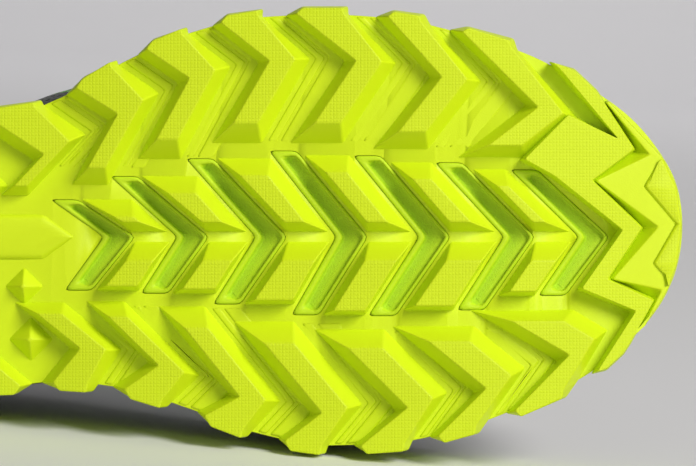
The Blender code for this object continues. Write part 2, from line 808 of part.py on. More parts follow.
def make_midsole(parts, cutters, finish):
    """Foam midsole: a shaped side, a low rim round the upper, pods in the windows."""
    loop = sole_loop()
    floor = tread_rise(loop[:, 0]) + LUG_HEIGHT + OUTSOLE_BASE + CLEARANCE
    bed = footbed(loop[:, 0])
    outside = upper_outside()
    away = np.column_stack((outward(loop), np.zeros(len(loop))))
    rim_inner = outside[1] + away * CLEARANCE
    rim_foot = outside[0] + away * CLEARANCE
    rim_foot[:, 2] = footbed(rim_foot[:, 0])
    rim_outer = ring(loop, -RIM_INSET, 0.0)
    rim_outer[:, 2] = rim_inner[:, 2]
    rings = [ring(loop, -inset, floor + share * (bed - floor)) for share, inset in FOAM_SIDE]
    rings += [rim_outer, rim_inner, rim_foot]
    midsole = add_object("midsole", sole_solid(rings), parts, finish)
    pods = []
    for index in range(len(WINDOWS)):
        levels = ((-CLEARANCE, LUG_HEIGHT + 2.0 * OUTSOLE_BASE), (-CLEARANCE, LUG_HEIGHT),
                  (-WINDOW_RIM, LUG_HEIGHT), (-1.3 * WINDOW_RIM, LUG_HEIGHT + WINDOW_DEPTH))
        rings = []
        for grow, height in levels:
            outline = window_ring(index, grow)
            rings.append([(x, y, height + float(tread_rise(x))) for x, y in outline])
        pods.append(rings)
    combine(midsole, pods, "UNION", cutters)
    apply_forms(midsole)
    return midsole


def make_insole(parts, finish):
    """Insole: a thin bed inside the upper, with its edge turned up a little."""
    loop = upper_inside()[0][:, :2]
    rings = (
        bed_ring(loop, -2.0 * CLEARANCE, CLEARANCE),
        bed_ring(loop, -2.0 * CLEARANCE, INSOLE_THICKNESS),
        bed_ring(loop, -INSOLE_THICKNESS, 0.8 * INSOLE_THICKNESS),
    )
    return add_object("insole", sole_solid(rings), parts, finish)


def tongue_sections():
    """Upper side of the tongue: under the eyestay on each side, crowned between."""
    inside = upper_inside()
    rows = inner_rows()[0]
    normals = surface_normals(upper_surface(rows))
    under = inside - normals * TONGUE_PLAY
    first = HALF_STATIONS // 2
    last = HALF_STATIONS - 2
    sections = []
    for index in range(first, last + 1):
        medial = under[-3:, index]
        lateral = under[-3:, -index]
        middle = []
        for share in (0.25, 0.5, 0.75):
            point = medial[-1] * (1.0 - share) + lateral[-1] * share
            lift = TONGUE_CROWN * 4.0 * share * (1.0 - share)
            middle.append(point + np.array((0.0, 0.0, lift)))
        sections.append(np.concatenate((medial, middle, lateral[::-1])))
    return sections


def make_tongue(parts, finish):
    """Tongue: a padded sheet below the lace that ends in a free tab over the instep."""
    sections = tongue_sections()
    first = sections[0]
    centre = first[4]
    tab = []
    for share, narrow in TAB:
        shift = np.array(TAB_DIRECTION) * TONGUE_TAB * share
        squeeze = np.array((TAB_LENGTH, narrow, TAB_HEIGHT))
        tab.append(centre + (first - centre) * squeeze + shift)
    top = np.array(tab + sections)
    along = np.gradient(top, axis=0)
    over = np.gradient(top, axis=1)
    normals = np.cross(along, over)
    normals /= np.linalg.norm(normals, axis=2)[:, :, None]
    thickness = TONGUE_THICKNESS * np.linspace(*TONGUE_TAPER, len(top))
    bottom = top - normals * thickness[:, None, None]
    bm = bmesh.new()
    rings = [list(upper_row) + list(lower_row[::-1]) for upper_row, lower_row in zip(top, bottom)]
    verts = add_rings(bm, rings)
    for end in (verts[0], verts[-1]):
        count = len(end) // 2
        for i in range(count - 1):
            bm.faces.new((end[i], end[i + 1], end[-i - 2], end[-i - 1]))
    return add_object("tongue", bm, parts, finish)


def stay_point(way, side, share):
    """A point over the eyestay and its normal, at a share from its edge inwards."""
    surface = upper_outside()
    normals = surface_normals(surface)
    index = way * HALF_STATIONS
    low = int(math.floor(index))
    blend = index - low
    found = []
    for grid in (surface, normals):
        picks = []
        for step in (low, low + 1):
            place = step if side < 0 else -step
            picks.append(grid[-1, place] * (1.0 - share) + grid[-2, place] * share)
        found.append(picks[0] * (1.0 - blend) + picks[1] * blend)
    return found[0], found[1] / np.linalg.norm(found[1])


def lace_path(start_way, end_way, start_side):
    """Middle line and normals of one crossing, from eyelet to eyelet."""
    over = LACE_OVERLAP * LACE_THICKNESS if start_side > 0 and start_way != end_way else 0.0
    lift = LACE_LIFT + LACE_THICKNESS / 2.0 + over
    step = LACE_SLANT * (end_way - start_way)
    stops = ((start_way, start_side, EYELET), (start_way + step, start_side, 0.0),
             (end_way - step, -start_side, 0.0), (end_way, -start_side, EYELET))
    points = []
    normals = []
    for way, side, share in stops:
        point, normal = stay_point(way, side, share)
        points.append(point + normal * lift)
        normals.append(normal)
    crown = (points[1] + points[2]) / 2.0
    upward = (normals[1] + normals[2]) / np.linalg.norm(normals[1] + normals[2])
    points.insert(2, crown + upward * LACE_CROWN * LACE_THICKNESS)
    normals.insert(2, upward)
    return np.array(points), np.array(normals)


def flat_bar(points, normals):
    """Sections of a flat lace along a path."""
    along = np.gradient(points, axis=0)
    sideways = np.cross(along, normals)
    sideways *= (LACE_WIDTH / 2.0) / np.linalg.norm(sideways, axis=1)[:, None]
    up = normals * LACE_THICKNESS / 2.0
    return np.stack((points - sideways - up, points + sideways - up,
                     points + sideways + up, points - sideways + up), axis=1)


def make_lace(parts, cutters, finish):
    """Lace: its crossings joined in one piece, from the lowest to the top eyelets."""
    lowest = LACE_ROWS[-1]
    bm = bmesh.new()
    add_prism(bm, flat_bar(*lace_path(lowest, lowest, -1)))
    lace = add_object("lace", bm, parts, finish)
    crossings = []
    for first, second in zip(LACE_ROWS[::-1], LACE_ROWS[-2::-1]):
        for side in (-1, 1):
            crossings.append(flat_bar(*lace_path(first, second, side)))
    combine(lace, crossings, "UNION", cutters)
    apply_forms(lace)
    return lace


def resting_turn(points, centre):
    """Turn and height that lay the hull of the points on the floor, lateral side down.

    The side below the centre of mass is found first, then the face of the hull that it
    meets, and again from that face's normal until it stays the same face."""
    hull = bmesh.new()
    for point in points:
        hull.verts.new(point)
    bmesh.ops.convex_hull(hull, input=hull.verts)
    tree = BVHTree.FromBMesh(hull)
    down = Vector((0.0, 1.0, 0.0))
    for _ in range(20):
        hit, normal, _, _ = tree.ray_cast(centre, down)
        if normal.dot(hit - centre) < 0.0:
            normal.negate()
        if normal.dot(down) > 0.9999999:
            break
        down = normal
    hull.free()
    floor_up = -down
    forward = Vector((1.0, 0.0, 0.0))
    forward = (forward - floor_up * forward.dot(floor_up)).normalized()
    left = floor_up.cross(forward)
    return Matrix((forward, left, floor_up)).to_4x4()


def mass_centre(solids):
    """Centre of mass of the solids, from the tetrahedra under their triangles."""
    total = 0.0
    moment = np.zeros(3)
    for solid in solids:
        mesh = solid.data
        mesh.calc_loop_triangles()
        points = np.array([vertex.co[:] for vertex in mesh.vertices])
        corners = points[np.array([triangle.vertices[:] for triangle in mesh.loop_triangles])]
        volumes = np.einsum("ij,ij->i", corners[:, 0], np.cross(corners[:, 1], corners[:, 2])) / 6.0
        weight = DENSITIES[solid.name]
        total += weight * volumes.sum()
        moment += weight * (volumes[:, None] * corners.sum(axis=1) / 4.0).sum(axis=0)
    return Vector(moment / total)


def lay_down(solids, parts):
    """Parent every solid to an empty that lays the shoe on its lateral side."""
    points = [vertex.co.copy() for solid in solids for vertex in solid.data.vertices]
    turn = resting_turn(points, mass_centre(solids))
    laid = np.array([turn @ point for point in points])
    low = laid.min(axis=0)
    high = laid.max(axis=0)
    shift = Vector((-(low[0] + high[0]) / 2.0, -(low[1] + high[1]) / 2.0, -low[2]))
    holder = bpy.data.objects.new("shoe_lying", None)
    parts.objects.link(holder)
    holder.matrix_world = Matrix.Translation(shift) @ turn
    for solid in solids:
        solid.parent = holder


def main():
    for old in list(bpy.data.objects):
        bpy.data.objects.remove(old)
    parts = bpy.data.collections.new("trail_running_shoe")
    cutters = bpy.data.collections.new("cutters")
    for collection in (parts, cutters):
        bpy.context.scene.collection.children.link(collection)
    rubber = material("lime_rubber", (0.62, 0.86, 0.01), 0.55)
    foam = material("lime_foam", (0.42, 0.70, 0.01), 0.7)
    textile = material("charcoal_mesh", (0.035, 0.04, 0.042), 0.85)
    padding = material("charcoal_padding", (0.03, 0.033, 0.036), 0.9)
    bed = material("green_insole", (0.10, 0.32, 0.05), 0.9)
    cord = material("green_lace", (0.16, 0.50, 0.06), 0.8)
    solids = [
        make_outsole(parts, cutters, rubber),
        make_midsole(parts, cutters, foam),
        make_upper(parts, textile),
        make_insole(parts, bed),
        make_tongue(parts, padding),
        make_lace(parts, cutters, cord),
    ]
    lay_down(solids, parts)


main()
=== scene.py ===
import json
import math

import bmesh
import bpy
import numpy as np
from mathutils import Matrix, Vector


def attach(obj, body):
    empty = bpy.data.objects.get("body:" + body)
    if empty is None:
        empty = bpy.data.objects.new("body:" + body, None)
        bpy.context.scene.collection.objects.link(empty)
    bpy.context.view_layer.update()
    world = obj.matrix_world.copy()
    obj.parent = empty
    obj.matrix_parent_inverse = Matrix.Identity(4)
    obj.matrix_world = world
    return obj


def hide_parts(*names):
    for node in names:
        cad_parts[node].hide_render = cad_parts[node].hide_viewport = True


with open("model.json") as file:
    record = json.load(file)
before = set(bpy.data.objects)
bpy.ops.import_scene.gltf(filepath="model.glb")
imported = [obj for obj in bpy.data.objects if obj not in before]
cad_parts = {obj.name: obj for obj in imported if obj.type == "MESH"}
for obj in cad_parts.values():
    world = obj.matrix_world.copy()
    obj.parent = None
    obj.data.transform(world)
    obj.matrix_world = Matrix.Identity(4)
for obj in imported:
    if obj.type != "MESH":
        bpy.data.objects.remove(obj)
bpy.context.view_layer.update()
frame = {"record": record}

bl_info = {
    "name": "Trail running shoe",
    "version": (1, 0, 0),
    "blender": (4, 5, 0),
    "location": "3D View > Sidebar > Shoe",
    "description": "Outsole, midsole, upper, insole, tongue and lace round the packed frame",
    "category": "Object",
}

# Sizes shared with the solids, in metres
SOLE_LENGTH = 0.296
BALL_BREADTH = 0.1124
TOE_SPRING = 0.015
HEEL_FOAM = 0.0205
OUTSOLE_BASE = 0.0025
LUG_HEIGHT = 0.0055
CLEARANCE = 0.0003
FOAM_INSET = 0.0012
FOAM_GROOVE = 0.0022
RIM_INSET = 0.0009
RIM_ROUND = 0.0007
RIM_TURN = 0.0004
INSOLE_THICKNESS = 0.004
TOOTH = 0.0022
TOOTH_LEAN = 0.0008
TOOTH_REAR = 0.0016
TOOTH_FRONT = 0.0003
TOOTH_RUN = 0.0014
LUG_FACET = 0.24
VEE_SLOPE = 0.8
VEE_END = 0.4
FLAT_REACH = 0.0066
REAR_RUN = 0.0031
FRONT_RUN = 0.0039
WINDOW_REACH = 0.0073
WINDOW_APEX_REACH = 0.0084
WINDOW_FRONT = 0.45
WINDOW_SLANT = 0.25
WINDOW_SHADE = 0.3
WINDOW_CUT = 0.0012
CENTRE_MARGIN = 0.0009
CENTRE_CHANNEL = 0.0013
PLAQUE_HEIGHT = 0.0016
PLAQUE_TOP = 0.0007
PLAQUE_ROUND = 0.0011
PLAQUE_STATION = 0.432
PLAQUE_REACH = 0.020
PLAQUE_HALF = 0.0058
FACET_TOP = 0.12
FACET_DROP = 0.3
FACET_ROUND = 0.0002
BUMPER_DROP = 0.0012
BUMPER_STEP = 0.0009
BUMPER_RAMP = 0.0012
BUMPER_ROUND = 0.0006
BUMPER_CENTRE = 0.9
PLATE_RUN = 0.0008
PLATE_DROP = 0.0002
INSTEP_HEIGHT = 0.0745
UPPER_INSET = 0.005
RIM_ROW = 0.055
UPPER_WALL = 0.0022
OVERLAY = 0.0009
OVERLAY_BEVEL = 0.004
CREASE_WIDTH = 0.0075
COLLAR_PADDING = 0.0036
COLLAR_ROLL = 0.35
TONGUE_THICKNESS = 0.0036
TONGUE_CROWN = 0.001
TONGUE_PLAY = 0.0008
TONGUE_TAPER = (1.5, 0.7)
TONGUE_TAB = 0.020
TAB_DIRECTION = (-0.75, 0.0, 0.60)
TAB_LENGTH = 0.25
TAB_BREADTH = 0.5
TAB_HEIGHT = 0.55
LACE_WIDTH = 0.0065
LACE_THICKNESS = 0.0016
LACE_LIFT = 0.0010
LACE_SINK = 0.0008
LACE_TURN = 0.72
LACE_SLANT = 0.2
LACE_CROWN = 1.5
LACE_PINCH = 0.55
LACE_PINCH_RUN = 0.004
EYELET = 0.8
EYELET_RADIUS = 0.0026
EYELET_THICKNESS = 0.0006
EYELET_LIFT = 0.00045

# Plan of the sole: share of the length, medial and lateral breadth as shares of the ball
PLAN = (
    (0.000, -0.013, 0.013),
    (0.010, 0.116, 0.142),
    (0.035, 0.218, 0.245),
    (0.090, 0.311, 0.338),
    (0.160, 0.347, 0.369),
    (0.250, 0.325, 0.365),
    (0.330, 0.289, 0.350),
    (0.400, 0.282, 0.347),
    (0.445, 0.321, 0.336),
    (0.500, 0.402, 0.350),
    (0.560, 0.472, 0.398),
    (0.620, 0.509, 0.455),
    (0.680, 0.516, 0.484),
    (0.740, 0.507, 0.478),
    (0.800, 0.474, 0.446),
    (0.860, 0.425, 0.389),
    (0.910, 0.356, 0.327),
    (0.950, 0.285, 0.248),
    (0.980, 0.196, 0.158),
    (0.995, 0.120, 0.071),
    (1.000, 0.027, -0.027),
)

# Side view of the sole: share of the length, tread rise as a share of the toe spring,
# foam as a share of the heel foam
PROFILE = (
    (0.00, 0.33, 0.72),
    (0.05, 0.10, 0.92),
    (0.12, 0.00, 1.00),
    (0.30, 0.00, 0.95),
    (0.42, 0.13, 0.78),
    (0.50, 0.04, 0.72),
    (0.57, 0.00, 0.61),
    (0.70, 0.00, 0.55),
    (0.80, 0.10, 0.52),
    (0.90, 0.43, 0.48),
    (1.00, 1.00, 0.42),
)

# Opening of the upper, by share of the way from heel to toe: station, centre, half
# breadth as a share of the ball, height over the footbed as a share of the instep
OPENING = (
    (0.00, 0.022, 0.013, 0.000, 0.933),
    (0.10, 0.030, 0.013, 0.089, 0.920),
    (0.20, 0.075, 0.014, 0.196, 0.820),
    (0.30, 0.170, 0.015, 0.262, 0.690),
    (0.40, 0.300, 0.010, 0.268, 0.752),
    (0.46, 0.365, 0.004, 0.232, 0.930),
    (0.50, 0.400, -0.002, 0.192, 1.000),
    (0.60, 0.490, -0.018, 0.138, 0.900),
    (0.70, 0.565, -0.028, 0.120, 0.795),
    (0.80, 0.610, -0.030, 0.102, 0.718),
    (0.90, 0.637, -0.030, 0.062, 0.667),
    (1.00, 0.648, -0.030, 0.000, 0.650),
)

# Side of the upper: share of the way, height of the widest line, medial and lateral bulge,
# lean and height of the shoulder
SIDE = (
    (0.00, 0.30, -0.004, -0.004, 0.35, 0.66),
    (0.10, 0.30, -0.004, -0.004, 0.35, 0.65),
    (0.20, 0.28, -0.009, -0.009, 0.36, 0.57),
    (0.30, 0.26, -0.008, -0.006, 0.45, 0.48),
    (0.40, 0.25, 0.018, 0.008, 0.46, 0.53),
    (0.45, 0.25, 0.040, 0.012, 0.43, 0.64),
    (0.50, 0.24, 0.010, 0.010, 0.42, 0.72),
    (0.60, 0.21, -0.008, 0.000, 0.40, 0.66),
    (0.70, 0.19, -0.014, -0.010, 0.36, 0.56),
    (0.80, 0.17, -0.018, -0.018, 0.28, 0.46),
    (0.90, 0.15, -0.018, -0.018, 0.23, 0.42),
    (1.00, 0.15, -0.018, -0.018, 0.20, 0.40),
)

# Overlays, by share of the way: top edge of the toe cap and counter, bottom edge of the
# eyestay and cuff, padding of the collar
OVERLAYS = (
    (0.00, 0.52, 0.80, 1.0),
    (0.18, 0.46, 0.80, 1.0),
    (0.30, 0.17, 0.76, 1.0),
    (0.39, 0.15, 0.71, 0.8),
    (0.46, 0.15, 0.67, 0.0),
    (0.60, 0.16, 0.68, 0.0),
    (0.75, 0.17, 0.74, 0.0),
    (0.88, 0.28, 0.80, 0.0),
    (1.00, 0.36, 0.82, 0.0),
)

# Forefoot lugs of each side: station and offset of the rear corner, outward drift of the
# corners per length, then slopes in length per breadth of the rear edge, the flat's front
# edge and the front wall's foot on the outer arm, slope of the inner arm, offset of the
# inner end
MEDIAL_LUGS = (
    (0.434, 0.191, 0.50, 1.53, 1.00, 1.45, 0.95, 0.095),
    (0.499, 0.284, 0.53, 1.62, 0.95, 1.45, 0.56, 0.120),
    (0.562, 0.366, 0.31, 1.50, 0.91, 1.29, 0.54, 0.180),
    (0.632, 0.406, 0.07, 1.28, 0.85, 1.14, 0.58, 0.217),
    (0.708, 0.406, -0.03, 1.28, 0.79, 1.00, 0.67, 0.217),
    (0.783, 0.369, -0.08, 0.90, 0.81, 0.91, 0.79, 0.203),
    (0.868, 0.300, -0.22, 1.02, 0.80, 0.90, 1.30, 0.184),
)
LATERAL_LUGS = (
    (0.466, 0.258, 0.03, 0.82, 0.53, 0.68, 1.24, 0.152),
    (0.535, 0.297, 0.25, 1.46, 0.81, 1.04, 1.03, 0.149),
    (0.606, 0.369, 0.12, 1.90, 0.76, 0.94, 0.80, 0.161),
    (0.678, 0.406, -0.19, 1.34, 0.69, 0.83, 0.83, 0.196),
    (0.753, 0.394, -0.35, 1.24, 0.65, 0.73, 1.00, 0.214),
    (0.822, 0.350, -0.48, 1.02, 0.73, 0.72, 1.22, 0.207),
    (0.896, 0.274, -0.60, 1.00, 0.64, 0.60, 1.70, 0.170),
)

# Plate of the toe, from the medial to the lateral side: station and offset of its rear
# edge, then of its zigzag front edge
TOE_PLATE = (
    (0.881, -0.405, 0.900, -0.387),
    (0.889, -0.385, 0.920, -0.339),
    (0.940, -0.228, 0.954, -0.205),
    (0.895, -0.283, 0.946, -0.189),
    (0.856, -0.180, 0.916, -0.131),
    (0.883, -0.141, 0.919, -0.124),
    (0.944, -0.016, 0.961, -0.021),
    (0.907, 0.120, 0.930, 0.099),
    (0.956, 0.173, 0.972, 0.149),
    (0.921, 0.313, 0.950, 0.249),
    (0.929, 0.307, 0.944, 0.272),
)

# Bumper, from the medial to the lateral side: foot of its rear wall, top of that wall,
# foot of the step in front of it, then the station and the side of the sole's edge
BUMPER = (
    (0.928, -0.317, 0.929, -0.313, 0.931, -0.311, 0.932, -1),
    (0.954, -0.205, 0.969, -0.191, 0.977, -0.178, 0.982, -1),
    (0.916, -0.131, 0.920, -0.130, 0.963, -0.118, 0.995, -1),
    (0.961, -0.021, 0.977, -0.023, 0.992, -0.030, 1.000, -1),
    (0.930, 0.099, 0.935, 0.099, 0.971, 0.063, 0.996, 1),
    (0.969, 0.150, 0.980, 0.124, 0.984, 0.090, 0.988, 1),
    (0.957, 0.211, 0.964, 0.205, 0.967, 0.198, 0.974, 1),
    (0.949, 0.241, 0.951, 0.238, 0.953, 0.234, 0.957, 1),
)

# Heel lugs of both sides, in the same columns, which point the other way
HEEL_LUGS = (
    (0.350, 0.205, 0.0, 1.20, 1.00, 1.10, 0.80, 0.120),
    (0.275, 0.215, 0.0, 1.20, 0.90, 1.05, 0.75, 0.120),
    (0.200, 0.225, 0.0, 1.10, 0.85, 1.00, 0.75, 0.120),
    (0.125, 0.215, 0.0, 1.00, 0.80, 0.90, 0.80, 0.110),
    (0.055, 0.160, 0.0, 0.80, 0.80, 0.80, 0.90, 0.080),
)

# Windows of the forefoot: station of the rear corner, reach and slope of the medial arm,
# reach and slope of the lateral arm
WINDOWS = (
    (0.485, 0.087, 1.43, 0.125, 0.73),
    (0.550, 0.141, 1.11, 0.132, 0.64),
    (0.619, 0.182, 0.89, 0.157, 0.63),
    (0.690, 0.200, 0.78, 0.182, 0.57),
    (0.763, 0.189, 0.81, 0.184, 0.64),
    (0.838, 0.173, 0.93, 0.171, 0.64),
    (0.905, 0.157, 1.03, 0.138, 0.69),
)

# Pods in the windows: inset of each outline and depth below the sole's base, in metres,
# then how much painted shade of the recess it has, which also brings in the grain
POD_LEVELS = (
    (0.00014, 0.0050, 0.0),
    (0.00014, 0.0002, 0.0),
    (0.00026, -0.0001, 0.0),
    (0.00060, -0.0003, 0.0),
    (0.00140, -0.0003, 0.0),
    (0.00180, 0.0000, 0.2),
    (0.00210, 0.0007, 0.6),
    (0.00240, 0.0015, 1.0),
    (0.00300, 0.0018, 0.9),
)

# Walls of the middle lugs by side: its place in a window's rows, then the run of the outer
# end, the inner end, the rear wall and the front wall, in metres
MIDDLE_RUNS = (
    (0, 0.0046, 0.0026, 0.0028, 0.0052),
    (2, 0.0013, 0.0049, 0.0029, 0.0018),
)

# Middle lugs of the heel: station of the corner, reach of both arms
HEEL_MIDDLE = (
    (0.335, 0.085),
    (0.260, 0.090),
    (0.185, 0.090),
    (0.112, 0.080),
)

# Small four-sided facets of the waist: station, offset and half breadth in metres
FACETS = (
    (0.415, 0.115, 0.0050),
    (0.375, 0.118, 0.0048),
    (0.385, -0.118, 0.0048),
    (0.421, 0.238, 0.0058),
)

# Ledges between the lugs: where each starts and ends in front of a lug, its height and the
# run of its walls, in metres
LEDGES = (
    (0.0014, 0.0038, 0.00022, 0.0005),
    (0.0048, 0.0100, 0.00034, 0.0006),
)

# How far out from its inner end a ledge reaches its height, how far its outer end stays
# inside the sole's edge, and shares of the ball's breadth that its inner end keeps off
LEDGE_FADE = 0.012
LEDGE_SHORT = 0.0004
LEDGE_INNER = 0.16
LEDGE_GAP = 0.005

# Side of the midsole: share of its height, inset from the sole's edge in metres
FOAM_SIDE = (
    (0.00, FOAM_INSET),
    (0.22, FOAM_INSET),
    (0.32, FOAM_GROOVE),
    (0.42, FOAM_GROOVE),
    (0.55, RIM_INSET),
    (0.85, 0.5 * RIM_INSET),
    (1.50, RIM_INSET),
)

# Insole from below: inset of each outline and its height over the footbed, in metres
INSOLE_LEVELS = (
    (2.0 * CLEARANCE, CLEARANCE),
    (2.0 * CLEARANCE, 0.75 * INSOLE_THICKNESS),
    (0.0012, INSOLE_THICKNESS),
    (0.0030, 0.85 * INSOLE_THICKNESS),
    (0.0060, 0.80 * INSOLE_THICKNESS),
)

# Creases of the vamp: station, lean per metre of breadth, depth in metres
CREASES = (
    (0.690, 0.10, 0.0009),
    (0.722, 0.05, 0.0007),
    (0.655, 0.14, 0.0006),
)

# Streaks of the mesh: stations where they come and where they go
STREAKS = (0.30, 0.36, 0.60, 0.68)

# Rows of eyelets, as shares of the way from heel to toe
LACE_ROWS = (0.54, 0.585, 0.635, 0.70, 0.785)

# Lights: place and target in metres, size, share of the key's power, colour
LIGHTS = {
    "key": ((2.15, -2.20, 2.05), (0.0, 0.0, 0.06), 1.6, 1.0, (1.0, 0.99, 0.97)),
    "fill": ((-2.60, -2.20, 1.20), (0.0, 0.0, 0.06), 2.4, 0.07, (0.95, 0.97, 1.0)),
    "backdrop_light": ((0.3, 3.4, 3.2), (0.0, 5.0, 0.6), 3.0, 0.44, (0.98, 0.97, 1.0)),
}

# Floor: half its breadth, where it starts to bend and the bend's radius, and its top
FLOOR_HALF = 7.0
FLOOR_BEND_START = 4.0
FLOOR_BEND = 2.0
FLOOR_TOP = 6.0

# What the camera looks at, on the worn shoe, the breadth that it sees there, its sensor
VIEW_CENTRE = (0.2074, -0.0010, 0.0)
VIEW_BREADTH = 0.1803
SENSOR = 36.0

# Fineness of the dressed surfaces
SOLE_STATIONS = 150
UPPER_STATIONS = 180
STAY_STATIONS = 36
UPPER_PLAN_ROW = 30
FOAM_ROWS = 34
EYELET_STEPS = 20
EYELET_POINTS = 6
LACE_STEPS = 44
LACE_POINTS = 16
EDGE_RADIUS = 0.00034
CORNER_CUT = 0.00055

# Where the frame's mounts are on the worn shoe
MOUNT_PLACES = {
    "heel_tread": (HEEL_LUGS[2][0] * SOLE_LENGTH - 0.5 * FLAT_REACH,
                   HEEL_LUGS[2][1] * BALL_BREADTH, 0.0),
    "forefoot_tread": (MEDIAL_LUGS[3][0] * SOLE_LENGTH + 0.5 * FLAT_REACH,
                       -MEDIAL_LUGS[3][1] * BALL_BREADTH, 0.0),
}


def worn_to_laid():
    """Turn and shift from the worn shoe to the frame. The tread's normal and the line
    between the two mounts give three directions at right angles in each of them."""
    mounts = {mount["name"]: mount for mount in frame["record"]["mounts"]}
    worn = [np.array(place) for place in MOUNT_PLACES.values()]
    laid = [np.array(mounts[name]["pos_m"]) for name in MOUNT_PLACES]
    up = -np.array(mounts["heel_tread"]["axis"])
    up = up / np.linalg.norm(up)
    turns = []
    for (heel, ball), normal in ((worn, np.array((0.0, 0.0, 1.0))), (laid, up)):
        along = ball - heel
        along = along - normal * (along @ normal)
        along = along / np.linalg.norm(along)
        turns.append(np.column_stack((along, np.cross(normal, along), normal)))
    turn = turns[1] @ turns[0].T
    return turn, laid[0] - turn @ worn[0]


TURN, SHIFT = worn_to_laid()


def lay(points):
    """Points of the worn shoe as points of the frame."""
    return np.asarray(points) @ TURN.T + SHIFT


def ease_rows(knots, values, at):
    """Monotone cubic through each row of knots. The slope at an inner knot is the harmonic
    mean of its neighbours' slopes, or none where they differ in sign."""
    at = np.clip(at, knots[:, :1], knots[:, -1:])
    step = np.diff(knots, axis=1)
    slope = np.diff(values, axis=1) / step
    product = slope[:, 1:] * slope[:, :-1]
    total = np.where(product > 0.0, slope[:, 1:] + slope[:, :-1], 1.0)
    inner = np.where(product > 0.0, 2.0 * product / total, 0.0)
    tangent = np.concatenate((slope[:, :1], inner, slope[:, -1:]), axis=1)
    left = (at[:, :, None] >= knots[:, None, 1:-1]).sum(axis=2)
    h = np.take_along_axis(step, left, axis=1)
    t = (at - np.take_along_axis(knots, left, axis=1)) / h
    rise = (3.0 - 2.0 * t) * t * t
    pull = (np.take_along_axis(tangent, left, axis=1) * (1.0 - t)
            - np.take_along_axis(tangent, left + 1, axis=1) * t)
    low = np.take_along_axis(values, left, axis=1)
    high = np.take_along_axis(values, left + 1, axis=1)
    return low * (1.0 - rise) + high * rise + t * (1.0 - t) * h * pull


def ease(knots, values, at):
    """Monotone cubic through one row of knots, read anywhere."""
    at = np.asarray(at, float)
    knots = np.asarray(knots, float)[None]
    values = np.asarray(values, float)[None]
    return ease_rows(knots, values, at.reshape(1, -1)).reshape(at.shape)


def column(table, index, at):
    """One column of a table, read between its rows."""
    rows = np.array(table)
    return ease(rows[:, 0], rows[:, index], at)


def smooth(low, high, at):
    """Rises from 0 at low to 1 at high, as three squares less two cubes."""
    t = np.clip((np.asarray(at, float) - low) / (high - low), 0.0, 1.0)
    return t * t * (3.0 - 2.0 * t)


def breadth(x, side):
    """Breadth of the sole at a station, from its axis to the edge of one side."""
    rows = np.array(PLAN)
    turn = np.arccos(1.0 - 2.0 * rows[:, 0])
    share = np.clip(np.asarray(x, float) / SOLE_LENGTH, 0.0, 1.0)
    index = 1 if side < 0 else 2
    return BALL_BREADTH * ease(turn, rows[:, index], np.arccos(1.0 - 2.0 * share))


def tread_rise(x):
    """Height of the tread's ground face over the ground: heel bevel, arch, toe spring."""
    return TOE_SPRING * column(PROFILE, 1, np.asarray(x, float) / SOLE_LENGTH)


def footbed(x):
    """Height of the midsole's top, on which the upper and the insole lie."""
    foam = HEEL_FOAM * column(PROFILE, 2, np.asarray(x, float) / SOLE_LENGTH)
    return tread_rise(x) + LUG_HEIGHT + OUTSOLE_BASE + CLEARANCE + foam


def loop_ways(half):
    """Share of the way from heel to toe and the side of each point round the sole."""
    way = np.arange(half + 1) / half
    ways = np.concatenate((way, way[-2:0:-1]))
    sides = np.concatenate((-np.ones(len(way)), np.ones(len(way) - 2)))
    return ways, sides


def sole_loop(half):
    """Plan of the sole as a loop from the heel, up the medial side and back. Stations are
    spaced as the cosine of an even angle, so that they are close at both ends."""
    ways, sides = loop_ways(half)
    x = SOLE_LENGTH * (1.0 - np.cos(math.pi * ways)) / 2.0
    y = np.where(sides < 0, -breadth(x, -1), breadth(x, 1))
    return np.stack((x, y), axis=1)


def unit(vectors):
    """Vectors over their own lengths."""
    return vectors / np.linalg.norm(vectors, axis=-1, keepdims=True)


def outward(loop):
    """Unit vectors in plan that point away from a closed loop."""
    along = np.roll(loop, -1, axis=0) - np.roll(loop, 1, axis=0)
    return unit(np.stack((along[:, 1], -along[:, 0]), axis=1))


def ring(loop, offset, height):
    """A loop moved in or out by an offset, at a height given for each of its points."""
    offset = np.broadcast_to(offset, len(loop))[:, None]
    plan = loop + outward(loop) * offset
    return np.column_stack((plan, np.broadcast_to(height, len(loop))))


def grid_faces(rows, columns, wrap_rows=False, wrap_columns=False):
    """Quads between the neighbours of a grid whose points are numbered row by row."""
    i = np.arange(rows if wrap_rows else rows - 1)
    j = np.arange(columns if wrap_columns else columns - 1)
    i, j = np.meshgrid(i, j, indexing="ij")
    after_i = (i + 1) % rows
    after_j = (j + 1) % columns
    corners = (i * columns + j, i * columns + after_j,
               after_i * columns + after_j, after_i * columns + j)
    return np.stack(corners, axis=-1).reshape(-1, 4)


def strip_faces(count, first=0):
    """Quads that close a loop from its start to its middle point, in strips across."""
    i = np.arange(count // 2 - 1)
    return first + np.stack((i, i + 1, count - 2 - i, count - 1 - i), axis=1)


def sole_cap(count, first=0):
    """Faces that close a loop of the sole: strips across and a triangle at each end."""
    i = np.arange(1, count // 2 - 1)
    strips = first + np.stack((i, i + 1, count - i - 1, count - i), axis=1)
    half = count // 2
    ends = first + np.array(((0, 1, count - 1), (half - 1, half, half + 1)))
    return [strips, ends]


def shell_of(rings, cap):
    """Points and faces of a loft through rings, closed at both ends by a cap function."""
    rings = np.array(rings)
    count = rings.shape[1]
    faces = [grid_faces(len(rings), count, wrap_columns=True)]
    for first in (0, (len(rings) - 1) * count):
        made = cap(count, first)
        faces += made if isinstance(made, list) else [made]
    return rings.reshape(-1, 3), faces


